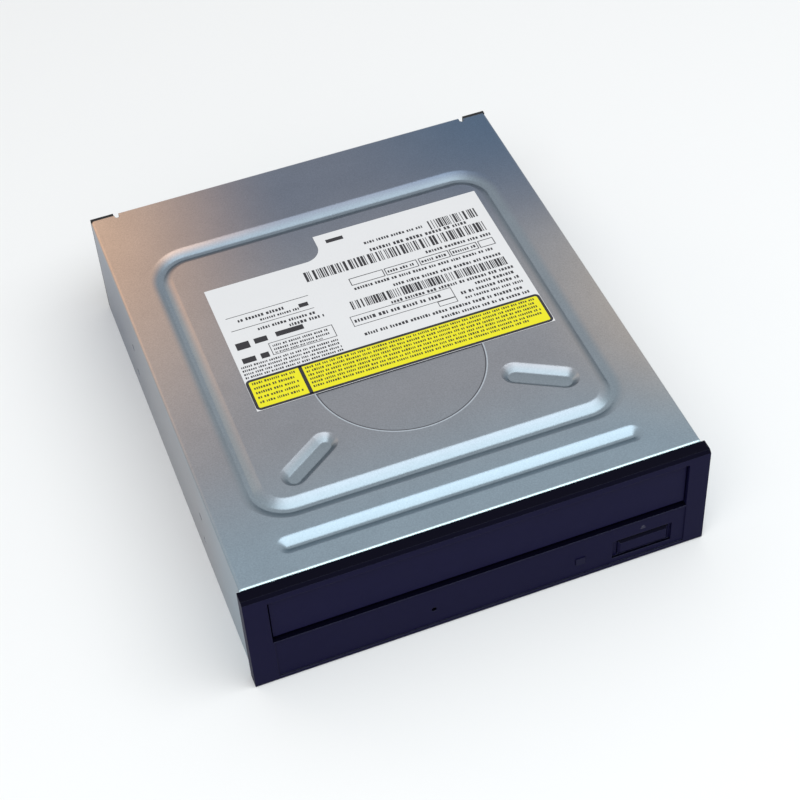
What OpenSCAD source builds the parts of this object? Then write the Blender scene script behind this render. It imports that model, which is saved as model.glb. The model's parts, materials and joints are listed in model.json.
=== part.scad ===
// Internal DVD writer for a half-height drive bay, with its loader, lift frame and optical pickup.
// Millimetres. +X is the right side seen from the bezel, +Y runs to the connectors, +Z is up.
// The datum is the plane where bezel and steel case meet, at mid width, on the case floor.

/* [Case] */
// Width of the steel case over its side walls
case_w = 146.4; // [146:0.1:147.2]
// Depth of the steel case behind the bezel
case_d = 172.5; // [172:0.1:175]
// Height of the steel case
case_h = 41.8; // [41.6:0.1:42.4]
// Thickness of the sheet steel
sheet = 0.8; // [0.7:0.05:0.9]
// Outer radius of the folds
fold_r = 1.1; // [1:0.1:1.4]
// Depth of the ring groove pressed in the lid
ring_depth = 1.8; // [1.2:0.1:2]
// Width of the ring groove at the lid's face
ring_w = 7.8; // [7:0.1:8.5]
// Width of the ring groove's flat floor
ring_floor = 1.2; // [1:0.1:3]
// Distance of the ring groove's centre line from the side walls
ring_side = 14.2; // [13.7:0.1:15.2]
// Distance from the datum to the ring groove's front run
ring_front = 23.7; // [23:0.1:25]
// Distance from the ring groove's rear run to the rear of the case
ring_rear = 30.2; // [29.5:0.1:31.5]
// Centre line radius of the ring groove's corners
ring_r = 11; // [9:0.1:13]
// Distance from the datum to the straight front groove
bar_y = 10.7; // [10.5:0.1:11.5]
// Width of the front bar groove at the top
bar_w = 6.8; // [6:0.1:7]
// Width of the front bar groove's flat floor
bar_floor = 0.9; // [0.8:0.1:2.4]
// Depth of the front bar groove
bar_depth = 1.6; // [1:0.1:1.8]
// Distance of the straight front groove's ends from the side walls
bar_side = 14.7; // [13.7:0.1:18]
// Radius of the coined circle round the clamp
coin_r = 27.9; // [26:0.1:29]

/* [Mounting holes] */
// Distance from the datum to the front row of holes
row_y = 47.4; // [47:0.1:48]
// Distance between the front and rear rows
row_gap = 79.25; // [79:0.05:79.5]
// Height of the lower side holes over the case floor
side_z = 10; // [9.8:0.1:10.2]
// Distance between the lower and upper side holes
side_gap = 11.84; // [11.7:0.02:12]
// Distance between the left and right bottom holes
bottom_gap = 139.7; // [139.4:0.1:139.8]
// Radius of the tapped holes
tap_r = 1.25; // [1.2:0.01:1.3]

/* [Bezel] */
// Overhang of the bezel past each side wall
bezel_lip = 0.95; // [0.8:0.05:1.3]
// How far the bezel's top lies under the lid's face
bezel_drop = 0.4; // [0.2:0.05:0.6]
// Thickness of the bezel
bezel_t = 4.65; // [4.4:0.05:5]
// Clearance beside the tray runners in the tray opening
gate_side = 1.25; // [1:0.05:1.5]
// Height of the tray opening
gate_h = 18.8; // [18.6:0.1:19.2]
// Depth of the opening's upper edge under the bezel's top
gate_top = 3.5; // [3.3:0.1:3.7]
// Distance of the opening's middle from mid width
gate_x = 0.25; // [0:0.05:0.5]
// Middle of the eject button across the bezel
button_x = 53.45; // [52:0.05:54]
// Middle of the eject button's height
button_z = 8.05; // [7.8:0.05:8.3]
// Width of the eject button
button_w = 16.9; // [16:0.1:17.5]
// Height of the eject button
button_h = 5.7; // [5.2:0.1:6]
// Travel of the eject button
button_travel = 0.5; // [0.3:0.05:0.6]
// Middle of the lamp window across the bezel
lamp_x = 32.1; // [31:0.1:33]
// Middle of the release hole across the bezel
release_x = -16.3; // [-17:0.1:-16]
// Height of the release hole
release_z = 8.7; // [8.6:0.05:9]
// Radius of the release hole
release_r = 0.85; // [0.7:0.05:1]

/* [Disc and tray] */
// Distance from the datum to the spindle
spindle_y = 66; // [65.8:0.05:66.2]
// Height of the disc seat over the tray floor
seat_up = 1.8; // [1.7:0.05:1.9]
// Width of the tray rim beside the recess for a full-size disc
rim_w = 2.75; // [2.5:0.05:3.1]
// Radius of the tray's recess for a small disc
small_r = 40.5; // [40.2:0.1:41]
// Height of the tray rim over the tray floor
rim_h = 4.7; // [4.2:0.1:5]
// Depth of the tray rim under the opening's upper edge
rim_drop = 4.4; // [4.1:0.1:4.9]
// Width of the tray's side runners
runner_w = 2.3; // [2:0.1:2.6]
// Width of the tracks beside the tray
track_w = 5.5; // [5.3:0.1:5.7]
// Half width of the tray's opening for the pickup
slot_x = 25; // [24:0.1:26]
// Distance from the tray arms' rear end to the rear of the case
tray_rear = 14.5; // [13:0.5:16]

/* [Loader] */
// Module of the tray gear and its rack
tray_m = 1; // [0.99:0.01:1.01]
// Teeth of the tray gear
tray_teeth = 18; // [18:1:18]
// Module of the reduction gears
step_m = 0.8; // [0.79:0.01:0.81]
// Teeth of the large reduction gear
wheel_teeth = 36; // [36:1:36]
// Teeth of the pinion on the belt wheel
pinion_teeth = 12; // [12:1:12]
// Distance of the drive gear's axis from the tray's side
drive_in = 23.5; // [23.3:0.1:23.7]
// Drive gear axis behind the datum
drive_y = 19.5; // [19.3:0.1:19.6]
// Direction from the drive gear to the belt wheel in degrees
wheel_turn = -8; // [-9:0.5:-7]
// Belt radius on the belt wheel
belt_r = 12; // [11.5:0.1:12.2]
// Belt radius on the motor pulley
pulley_r = 3; // [2.8:0.1:3.2]
// Distance between belt wheel and motor
belt_span = 29.6; // [29:0.1:30]
// Radius of the loading motor
motor_r = 12; // [11.5:0.1:12.2]

/* [Lift] */
// Travel of the cam slide
cam_travel = 20; // [19:0.5:20]
// Drop of the lift frame's pins
cam_drop = 7.4; // [6.8:0.1:7.4]
// Depth of the lift frame's pins under the disc seat
pin_down = 15.6; // [15.5:0.1:15.7]
// Distance of the pins from mid width
pin_x = 22; // [21:0.5:23]
// Distance of the lift pivot from the rear of the case
pivot_rear = 22.5; // [22:0.1:22.7]
// Depth of the lift pivot under the pins at rest
pivot_down = 1; // [0.8:0.1:1.2]
// Radius of the lift pins and pivots
pivot_r = 1.5; // [1.4:0.05:1.6]

/* [Pickup] */
// Depth of the guide rods under the disc seat
rod_down = 11.6; // [11.5:0.05:11.7]
// Radius of the guide rods
rod_r = 1.5; // [1.4:0.05:1.55]
// Main guide rod across the case
main_rod_x = 29; // [28.8:0.1:29.2]
// Second guide rod across the case
side_rod_x = -31; // [-31.2:0.1:-30.8]
// Lead screw across the case
screw_x = 36; // [35.9:0.05:36.1]
// Lens distance from the spindle with the pickup home
lens_home = 23; // [22.5:0.1:23.5]
// Radius of the objective lens
lens_r = 2.2; // [2:0.1:2.4]

/* [Hidden] */
$fn = 48;

steel = [0.62, 0.65, 0.69];
black = [0.07, 0.065, 0.09];
white = [0.93, 0.93, 0.9];
in_x = case_w / 2 - sheet;
in_top = case_h - sheet;
gap = 0.3;
run = 0.04;
wall_x = in_x - 1.4;
wall_t = 2;
rear_y = case_d - 1.3;
ear_x = in_x - 9.1;
ring_x = case_w / 2 - ring_side;
ring_back = case_d - ring_rear;
bar_len = case_w - 2 * bar_side;
bezel_w = case_w + 2 * bezel_lip;
bezel_h = case_h - bezel_drop;
gate_high = bezel_h - gate_top;
gate_low = gate_high - gate_h;
tray_x = wall_x - wall_t - track_w;
track_x = tray_x + 0.7;
gate_w = 2 * (tray_x + runner_w + gate_side);
disc_r = tray_x - rim_w;
rim_z = gate_high - rim_drop;
floor_z = rim_z - rim_h;
seat_z = floor_z + seat_up;
tray_end = case_d - tray_rear;
deck_x = wall_x - 9;
lift_x = wall_x - 21;
pivot_y = case_d - pivot_rear;
pin_z = seat_z - pin_down;
pivot_z = pin_z - pivot_down;
rod_z = seat_z - rod_down;
chassis_z = rod_z - 2.8;
chassis_t = 1.2;
chassis_top = chassis_z + chassis_t;
lift_low = chassis_z - 3.7;
lift_high = chassis_z + 2.4;
lift_back = pivot_y + 3;
tab_t = 1.2;
rear_tab = pivot_y - 9.2;
front_tab = spindle_y + 7.2;
deck_low = 5;
deck_top = 6.8;
motor_low = 3.6;
board_low = 2.6;
board_top = 4.2;
tray_gear_r = tray_m * tray_teeth / 2;
drive_x = drive_in - tray_x;
wheel_r = step_m * wheel_teeth / 2;
pinion_r = step_m * pinion_teeth / 2;
belt_x = drive_x + (wheel_r + pinion_r) * cos(wheel_turn);
belt_y = drive_y + (wheel_r + pinion_r) * sin(wheel_turn);
motor_x = belt_x + belt_span * cos(1.5);
motor_y = belt_y - belt_span * sin(1.5);
deck_right = motor_x + motor_r + 3.4;
rack_x = drive_x - tray_gear_r;
rack_count = floor((tray_end - 1.5 - drive_y) / (PI * tray_m)) + 3;
cam_m = 0.6;
cam_teeth = 30;
cam_r = cam_m * cam_teeth / 2;
belt_z = 16.6;
bridge_z = gate_high - 2.4;
bridge_t = 1.2;
bridge_half = 20;
bridge_screw_x = wall_x - 2.5;
bridge_screw_y = [spindle_y - bridge_half + 3, spindle_y + bridge_half - 3];
clamp_low = seat_z + 0.4;
lens_y = spindle_y + lens_home;
sled_front = lens_y - 13;
sled_back = lens_y + 14;
sled_low = rod_z - 4.8;
sled_top = rod_z + 4.6;
holder_top = rod_z + 8.2;
tray_bottom = floor_z - 2;
label_box = [[-47.2, 64.1], [53.6, 133]];
band_box = [[-46.2, 65], [52.8, 77.3]];
shelf_x = -5.5;
shelf_y = 122;
track_low = floor_z - 5.6;
track_high = floor_z - 3.6;
tier_low = floor_z - 7.4;
tier_high = floor_z - 3.8;
skirt_low = floor_z - 6.9;
damper_x = lift_x - 11;
damper_spots = [[-damper_x, 50.1], [damper_x, 50.1], [-damper_x, pivot_y - 7], [20, pivot_y - 6.7]];
damper_seat = lift_low + 1.6;
damper_top = chassis_top + 1.8;
clamp_rim = 18.4;
case_screw_x = wall_x - 13;
case_screw_y = [36.5, case_d - 16];
screw_slot_w = 0.5;
coin_depth = 0.25;
data_x = 0.5;
data_z = 8.75;
pin_pitch = 2.54;
pin_w = 0.64;
power_x = 22.2 - wall_x;
power_z = 9.7;
power_w = 22.9;
jumper_x = wall_x - 31;
jumper_z = 7.4;
audio_x = wall_x - 19.2;
audio_step = 9.2;
board_front = 62;
socket_top = board_top + 2;
board_x = wall_x - 5;
button_front = 0.35 - bezel_t;
label_t = 0.12;

// Block between two opposite corners
module slab(a, b) {
    translate(a)
        cube(b - a);
}

// Slab and its mirror image across mid width
module pair(a, b) {
    for (side = [0, 1])
        mirror([side, 0, 0])
            slab(a, b);
}

// Cylinder along Y from y0 to y1
module rod_y(x, z, r, y0, y1) {
    translate([x, y1, z])
        rotate([90, 0, 0])
            cylinder(h = y1 - y0, r = r);
}

// Cylinder along X from x0 to x1
module rod_x(y, z, r, x0, x1) {
    translate([x0, y, z])
        rotate([0, 90, 0])
            cylinder(h = x1 - x0, r = r);
}

// Cross recess of a screw head, from height 0 up
module cross_slot() {
    for (a = [0, 90])
        rotate(a)
            translate([-1.2, -screw_slot_w / 2, 0])
                cube([2.4, screw_slot_w, 1]);
}

// Upright cylinder from z0 to z1
module post(x, y, r, z0, z1) {
    translate([x, y, z0])
        cylinder(h = z1 - z0, r = r);
}

// Straight pressed groove with round ends, top edge at height 0 and open above it
module groove(length, top_w, floor_w, depth, over) {
    grow = over * (top_w - floor_w) / depth;
    run_len = length - top_w;
    union() {
        translate([-run_len / 2, 0, 0])
            rotate([90, 0, 90])
                linear_extrude(run_len)
                    polygon([[-floor_w / 2, -depth], [floor_w / 2, -depth],
                        [(top_w + grow) / 2, over], [-(top_w + grow) / 2, over]]);
        for (end = [-1, 1])
            translate([end * run_len / 2, 0, -depth])
                cylinder(h = depth + over, r1 = floor_w / 2, r2 = (top_w + grow) / 2);
    }
}

// Pressed groove along a rounded rectangle given by its centre line
module ring_groove(half, y0, y1, r, top_w, floor_w, depth, over) {
    grow = over * (top_w - floor_w) / depth;
    section = [[-floor_w / 2, -depth], [floor_w / 2, -depth],
        [(top_w + grow) / 2, over], [-(top_w + grow) / 2, over]];
    union() {
        for (y = [y0, y1])
            translate([-(half - r), y, 0])
                rotate([90, 0, 90])
                    linear_extrude(2 * (half - r))
                        polygon(section);
        for (x = [-half, half])
            translate([x, y1 - r, 0])
                rotate([90, 0, 0])
                    linear_extrude(y1 - y0 - 2 * r)
                        polygon(section);
        for (c = [[half - r, y1 - r, 0], [r - half, y1 - r, 90], [r - half, y0 + r, 180],
            [half - r, y0 + r, 270]])
            translate([c[0], c[1], 0])
                rotate([0, 0, c[2]])
                    rotate_extrude(angle = 90)
                        translate([r, 0])
                            polygon(section);
    }
}

// Plane spur gear with straight-sided teeth, a tooth pointing along +X, from z0 to z1
module spur(teeth, m, z0, z1, first = 0, last = -1) {
    r = teeth * m / 2;
    root = r - 1.2 * m;
    stop = last < 0 ? teeth - 1 : last;
    translate([0, 0, z0])
        linear_extrude(z1 - z0)
            union() {
                circle(r = root);
                for (i = [first : stop])
                    rotate(i * 360 / teeth)
                        polygon([[root - 0.3, -0.86 * m], [root, -0.86 * m], [r, -0.68 * m],
                            [r + 0.88 * m, -0.3 * m], [r + 0.88 * m, 0.3 * m],
                            [r, 0.68 * m], [root, 0.86 * m], [root - 0.3, 0.86 * m]]);
            }
}

// Straight rack teeth along +X from the origin, pointing to +Y past the pitch line y = 0
module rack_teeth(count, m, z0, z1) {
    pitch = PI * m;
    translate([0, 0, z0])
        linear_extrude(z1 - z0)
            for (i = [0 : count - 1])
                translate([i * pitch, 0])
                    polygon([[-1.02 * m, -1.25 * m], [-0.68 * m, 0], [-0.34 * m, 0.9 * m],
                        [0.34 * m, 0.9 * m], [0.68 * m, 0], [1.02 * m, -1.25 * m]]);
}

// Outline of the case in X and Z with folded upper edges, open at the floor
module case_outline(half, high, r) {
    union() {
        translate([-half, 0])
            square([2 * half, high - r]);
        translate([r - half, 0])
            square([2 * (half - r), high]);
        for (side = [-1, 1])
            translate([side * (half - r), high - r])
                circle(r = r);
    }
}

// Level distance between the two faces of a sheet on a sloping wall
function reach(top_w, floor_w, depth, skin) = skin * norm([1, (top_w - floor_w) / (2 * depth)]);

// What the floor of a pressing gains on the sheet's inner face
function floor_gain(top_w, floor_w, depth, skin) =
    2 * reach(top_w, floor_w, depth, skin) - skin * (top_w - floor_w) / depth;

// Straight pressing with the sheet under it
module pressing(length, top_w, floor_w, depth, skin, over) {
    s = reach(top_w, floor_w, depth, skin);
    groove(length + 2 * s, top_w + 2 * s, floor_w + floor_gain(top_w, floor_w, depth, skin), depth + skin, over);
}

// Every pressing of the lid: the skin grows by the sheet, the cut doesn't
module lid_pressings(skin, over) {
    s = reach(ring_w, ring_floor, ring_depth, skin);
    gain = floor_gain(ring_w, ring_floor, ring_depth, skin);
    translate([0, 0, case_h]) {
        ring_groove(ring_x, ring_front, ring_back, ring_r, ring_w + 2 * s, ring_floor + gain, ring_depth + skin, over);
        translate([0.2, bar_y, 0])
            pressing(bar_len, bar_w, bar_floor, bar_depth, skin, over);
        translate([39.5, 44, 0])
            rotate(-30)
                pressing(25, 9.2, 4.4, 2, skin, over);
        translate([-38.5, 39.6, 0])
            rotate(34.6)
                pressing(24, 8.6, 3.8, 2, skin, over);
    }
}

// Tapped holes on one face pattern: cylinders pointing inward through the right wall
module side_holes(r, depth) {
    for (side = [-1, 1], y = [row_y, row_y + row_gap], z = [side_z, side_z + side_gap])
        rod_x(y, z, r, side > 0 ? case_w / 2 - depth : -case_w / 2 - 0.5,
            side > 0 ? case_w / 2 + 0.5 : -case_w / 2 + depth);
}

module top_cover() {
    collar = sheet + 1;
    color(steel)
        difference() {
            union() {
                difference() {
                    translate([0, rear_y, 0])
                        rotate([90, 0, 0])
                            linear_extrude(rear_y)
                                case_outline(case_w / 2, case_h, fold_r);
                    translate([0, rear_y + 1, -1])
                        rotate([90, 0, 0])
                            linear_extrude(rear_y + 2)
                                case_outline(in_x, in_top + 1, fold_r - sheet);
                }
                intersection() {
                    lid_pressings(sheet, 0);
                    slab([-case_w / 2, 0, 30], [case_w / 2, case_d, case_h]);
                }
                // Folded-down rear flange
                difference() {
                    translate([-ear_x, 0, 0])
                        rotate([90, 0, 90])
                            linear_extrude(2 * ear_x)
                                union() {
                                    translate([case_d - 8, 15.6])
                                        square([8, case_h - 15.6 - fold_r]);
                                    translate([case_d - 8, 15.6])
                                        square([8 - fold_r, case_h - 15.6]);
                                    translate([case_d - fold_r, case_h - fold_r])
                                        circle(r = fold_r);
                                }
                    slab([-ear_x - 1, case_d - 9, 15], [ear_x + 1, case_d - sheet, in_top]);
                }
                intersection() {
                    side_holes(tap_r + 0.9, collar);
                    slab([-case_w / 2, 0, 0], [case_w / 2, case_d, case_h]);
                }
            }
            lid_pressings(0, 0.6);
            translate([0, spindle_y, case_h - coin_depth])
                cylinder(h = 2 * coin_depth, r1 = coin_r - 0.5, r2 = coin_r + 0.5);
            side_holes(tap_r, collar + 1);
            // Relief notches beside the rear flange
            for (side = [-1, 1])
                translate([side * (ear_x + 0.8), rear_y - 0.6, 30])
                    union() {
                        cylinder(h = 20, r = 0.8);
                        translate([-0.8, 0, 0])
                            cube([1.6, 5, 20]);
                    }
            // Windows for the bezel latches
            for (side = [-1, 1], z = [7, 27])
                slab([side * case_w / 2 - 2, 2.4, z], [side * case_w / 2 + 2, 5.6, z + 6]);
        }
}

module bottom_holes(r, z0, z1) {
    for (x = [-bottom_gap / 2, bottom_gap / 2], y = [row_y, row_y + row_gap])
        post(x, y, r, z0, z1);
}

module bottom_cover() {
    color(steel)
        difference() {
            union() {
                slab([-in_x, 0.2, 0], [in_x, rear_y, sheet]);
                pair([in_x - sheet, 8, 0], [in_x, rear_y - 8, 6.5]);
                slab([-ear_x, rear_y - sheet, 0], [ear_x, rear_y, 3.4]);
                bottom_holes(tap_r + 0.9, 0, sheet + 1);
                // Stiffening panel pressed inward
                slab([-50, 70, 0.3], [50, 150, sheet + 0.3]);
            }
            slab([-49, 71, -1], [49, 149, 0.3]);
            bottom_holes(tap_r, -1, 5);
            for (side = [-1, 1], y = case_screw_y)
                translate([side * case_screw_x, y, -0.01])
                    union() {
                        cylinder(h = sheet, r1 = 2.3, r2 = 1.4);
                        cylinder(h = 3, r = 1.4);
                    }
        }
}

module main_frame() {
    color(black)
        difference() {
            union() {
                // Side walls, tray ledges and the lids of the tray tracks
                pair([wall_x - wall_t, 1, sheet], [wall_x, rear_y - 1, floor_z + 1.2]);
                pair([track_x, 2, track_low - 2.2], [wall_x - wall_t, rear_y - 3.2, track_low - 0.2]);
                for (y = [2, 40])
                    pair([track_x, y, track_high + 0.2], [wall_x - wall_t, y + 19, track_high + 2]);
                pair([wall_x - 5, spindle_y - bridge_half - 1, track_low - 0.2],
                    [wall_x, spindle_y + bridge_half + 1, bridge_z]);
                // Front wall, gear deck and slide beam
                slab([-wall_x, 1, sheet], [wall_x, 2.4, gate_low - 0.5]);
                slab([-deck_x, 2.4, deck_low], [deck_right, 31, deck_top]);
                pair([case_screw_x, 2.4, sheet], [wall_x - wall_t, 36, 2.4]);
                slab([-wall_x + 1, 31, sheet], [wall_x - 1, 43, 3.5]);
                slab([-deck_x, 29, sheet], [deck_right, 31, deck_low]);
                slab([-deck_x, 2.4, sheet], [2 - deck_x, 31, deck_low]);
                // Seats of the front board and the main board
                slab([deck_right - 2, 2.4, sheet], [deck_right + 2, 30, 2.4]);
                pair([case_screw_x - 2, board_front - 2, sheet], [wall_x - wall_t, board_front + 6,
                    board_low]);
                pair([case_screw_x - 6, case_d - 18.5, sheet], [wall_x - wall_t, case_d - 5.5, board_low]);
                // Pivot ears of the lift frame and the rear beam
                pair([lift_x + 1.2, pivot_y - 4, pivot_z - 9], [lift_x + 4.2, pivot_y + 8, pivot_z + 4]);
                pair([lift_x + 1.2, pivot_y + 4, pivot_z + 2.4], [wall_x - wall_t, pivot_y + 12,
                    pivot_z + 4.4]);
                slab([-wall_x + 1, pivot_y + 7, pivot_z + 2.4], [wall_x - 1, pivot_y + 12, pivot_z + 5.4]);
                // Corner posts that show behind the case
                pair([ear_x + 1.8, rear_y - 3, sheet], [in_x, case_d, in_top - gap]);
                pair([ear_x + 1.8, rear_y, sheet], [case_w / 2, case_d, case_h - 0.1]);
                // Gear posts
                post(drive_x, drive_y, 3.2, deck_top - 1, deck_top + 0.2);
                post(drive_x, drive_y, 1.5, deck_top - 1, tier_high - 0.6);
                post(belt_x, belt_y, 3.2, deck_top - 1, deck_top + 0.2);
                post(belt_x, belt_y, 1.5, deck_top - 1, 18.2);
                // Bosses for the case screws
                for (side = [-1, 1], y = case_screw_y)
                    post(side * case_screw_x, y, 2.8, sheet, board_low);
                for (side = [-1, 1])
                    post(side * case_screw_x, case_screw_y[0], 2.8, sheet, 7);
            }
            post(motor_x, motor_y, motor_r + 0.2, 1.5, 9);
            // Clearance for the mounting screws
            side_holes(2, 8);
            bottom_holes(tap_r + 0.9 + gap, 0, 7);
            // Openings for lamp, button and release pin
            slab([lamp_x - 2.2, 0, 5.9], [lamp_x + 2.2, 3, 10.6]);
            slab([button_x - 4, 0, button_z - 2.2], [button_x + 4, 3, button_z + 2.2]);
            rod_y(release_x, release_z, release_r + 0.5, 0, 3);
            // Pivot bores and screw holes
            for (side = [-1, 1])
                rod_x(pivot_y, pivot_z, pivot_r + run, side * (lift_x + 3) - 3, side * (lift_x + 3) + 3);
            for (side = [-1, 1], y = case_screw_y)
                post(side * case_screw_x, y, 1, 0, 6.2);
            for (side = [-1, 1], y = bridge_screw_y)
                post(side * bridge_screw_x, y, 0.9, bridge_z - 5, bridge_z + 1);
            post(drive_x, drive_y, 0.7, tier_high - 5, tier_high);
            post(belt_x, belt_y, 0.7, 14, 19);
            // Room for the bezel latches
            pair([wall_x - 1.2, 0, 5], [wall_x + 1, 7, 35]);
        }
}

module front_bezel() {
    skin = 2.25;
    front = -bezel_t;
    color(black)
        difference() {
            union() {
                translate([-bezel_w / 2, 0, 0])
                    rotate([90, 0, 90])
                        linear_extrude(bezel_w)
                            polygon([[0, 0], [0, bezel_h], [front + 1, bezel_h], [front, bezel_h - 1],
                                [front, 0.5], [front + 0.5, 0]]);
                // Latch arms with hooked ends
                for (side = [-1, 1], z = [7.2, 27.2])
                    mirror([side < 0 ? 1 : 0, 0, 0])
                        translate([0, 0, z])
                            linear_extrude(5.6)
                                polygon([[in_x - 1.3, -1], [in_x - 0.1, -1], [in_x - 0.1, 2.6],
                                    [in_x + 0.6, 2.6], [in_x - 0.1, 5.4], [in_x - 1.3, 5.4]]);
            }
            // Hollow back
            difference() {
                slab([-bezel_w / 2 + 1.8, front + skin, 1.8], [bezel_w / 2 - 1.8, 1, bezel_h - 1.8]);
                slab([gate_x - gate_w / 2 - 1.4, front, gate_low - 1.4],
                    [gate_x + gate_w / 2 + 1.4, 2, gate_high + 1.4]);
                for (side = [-1, 1], z = [7.2, 27.2])
                    slab([side * (in_x - 0.7) - 0.6, front, z], [side * (in_x - 0.7) + 0.6, 2, z + 5.6]);
            }
            // Tray opening
            slab([gate_x - gate_w / 2, front - 1, gate_low], [gate_x + gate_w / 2, 3, gate_high]);
            // Shallow lower panel and the button's well
            slab([gate_x + 0.4 - gate_w / 2, front - 1, 1.9], [gate_x + gate_w / 2 + 0.1,
                front + 0.35, gate_low - 0.5]);
            slab([button_x - 10.5, front - 1, button_z - 3.9], [button_x + 9.6, front + 1.2,
                button_z + 4.2]);
            slab([button_x - button_w / 2 - 0.25, front - 1, button_z - button_h / 2 - 0.25],
                [button_x + button_w / 2 + 0.25, 1, button_z + button_h / 2 + 0.25]);
            // Lamp window and release hole
            slab([lamp_x - 1.6, front - 1, 6.7], [lamp_x + 1.6, 1, 9.8]);
            rod_y(release_x, release_z, release_r, front - 1, 1);
        }
}

// Top outline of the paper label, with the shelf cut out at its left
module label_outline() {
    r = 6;
    difference() {
        translate(label_box[0])
            square(label_box[1] - label_box[0]);
        difference() {
            translate([label_box[0][0] - 1, shelf_y])
                square([shelf_x - label_box[0][0] + 1, 20]);
            translate([shelf_x - r, shelf_y])
                square([r + 1, r]);
        }
        translate([shelf_x - r, shelf_y + r])
            circle(r = r);
    }
}

module label() {
    color(white)
        difference() {
            translate([0, 0, case_h])
                linear_extrude(label_t)
                    label_outline();
            slab([band_box[0][0], band_box[0][1], case_h + label_t / 2], [band_box[1][0],
                band_box[1][1], case_h + 1]);
        }
}

module label_band() {
    color([0.98, 0.86, 0.05])
        difference() {
            slab([band_box[0][0], band_box[0][1], case_h + label_t / 2],
                [band_box[1][0], band_box[1][1], case_h + label_t]);
            // Score between the band's two fields
            slab([-29.3, band_box[0][1] + 1, case_h + 0.75 * label_t], [-28.6,
                band_box[1][1] - 0.9, case_h + 1]);
        }
}

module led_lens() {
    color([0.75, 0.8, 0.78])
        union() {
            slab([lamp_x - 1.55, -bezel_t + 0.1, 6.75], [lamp_x + 1.55, 0.4, 9.75]);
            slab([lamp_x - 2.05, -bezel_t + 2.25, 6.2], [lamp_x + 2.05, -bezel_t + 3, 10.3]);
            slab([lamp_x - 1.2, 0.4, 7.05], [lamp_x + 1.2, 3.6, 9.45]);
        }
}

module eject_button() {
    front = button_front;
    color(black)
        union() {
            translate([button_x, 0, button_z])
                rotate([90, 0, 0])
                    intersection() {
                        translate([-button_w / 2, -button_h / 2, 0])
                            cube([button_w, button_h, -front]);
                        rotate([0, 90, 0])
                            translate([0, 0, -button_w])
                                linear_extrude(2 * button_w)
                                    polygon([[1, -button_h / 2], [1, button_h / 2], [front + 0.7,
                                        button_h / 2],
                                        [front, button_h / 2 - 0.7], [front, 0.7 - button_h / 2],
                                        [front + 0.7, -button_h / 2]]);
                        rotate([90, 0, 0])
                            translate([0, 0, -button_h])
                                linear_extrude(2 * button_h)
                                    polygon([[-button_w / 2, -1], [button_w / 2, -1],
                                        [button_w / 2, -front - 0.7],
                                        [button_w / 2 - 0.7, -front], [0.7 - button_w / 2, -front],
                                        [-button_w / 2, -front - 0.7]]);
                    }
            // Stop flange behind the bezel skin and the pusher
            slab([button_x - button_w / 2 - 0.9, -bezel_t + 2.3, button_z - button_h / 2 - 0.7],
                [button_x + button_w / 2 + 0.9, -bezel_t + 3.3, button_z + button_h / 2 + 0.7]);
            slab([button_x - 3.4, -1, button_z - 1.6], [button_x + 3.4, 0.4, button_z + 1.6]);
            slab([button_x - 1, 0, button_z - 1.6], [button_x + 1, 7.2, button_z + 1.6]);
        }
}

module switch_plunger() {
    color([0.15, 0.15, 0.15])
        rod_y(button_x, button_z, 1.6, 7.2, 9.6);
}

module eject_switch() {
    color([0.35, 0.35, 0.37])
        difference() {
            slab([button_x - 3, 8.4, board_top - 0.6], [button_x + 3, 12, button_z + 3]);
            rod_y(button_x, button_z, 1.6 + 0.06, 8, 11.2);
        }
}

module status_led() {
    y = 3.9;
    z = 8.25;
    color([0.55, 0.9, 0.45, 0.8])
        union() {
            translate([lamp_x, y + 1.5, z])
                sphere(r = 1.5);
            rod_y(lamp_x, z, 1.5, y + 1.5, y + 5);
            rod_y(lamp_x, z, 1.9, y + 4, y + 5);
            for (side = [-1, 1]) {
                slab([lamp_x + side * 1.27 - 0.25, y + 4.6, z - 0.25],
                    [lamp_x + side * 1.27 + 0.25, y + 6.5, z + 0.25]);
                slab([lamp_x + side * 1.27 - 0.25, y + 6, 3.6], [lamp_x + side * 1.27 + 0.25,
                    y + 6.5, z + 0.25]);
            }
        }
}

module front_board() {
    color([0.1, 0.32, 0.16])
        difference() {
            slab([-6, 2.6, 2.4], [66, 28.8, motor_low]);
            post(case_screw_x, case_screw_y[0], 3.4, 0, 6);
        }
}

module tray_door() {
    front = -bezel_t + 1;
    low = gate_low + 1.2;
    high = gate_high - 0.3;
    color(black)
        difference() {
            translate([gate_x - gate_w / 2 + 0.5, 0, 0])
                rotate([90, 0, 90])
                    linear_extrude(gate_w - 1)
                        polygon([[-0.9, low], [-0.9, high], [front + 0.3, high], [front, high - 0.3],
                            [front, low + 0.3], [front + 0.3, low]]);
            // Hollow at the upper back
            slab([gate_x - gate_w / 2 + 2.5, front + 1.6, rim_z + 0.6], [gate_x + gate_w / 2 - 2.5,
                1, high - 1]);
        }
}

module tray_recess(r, z) {
    post(0, spindle_y, r, z, 60);
}

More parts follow.
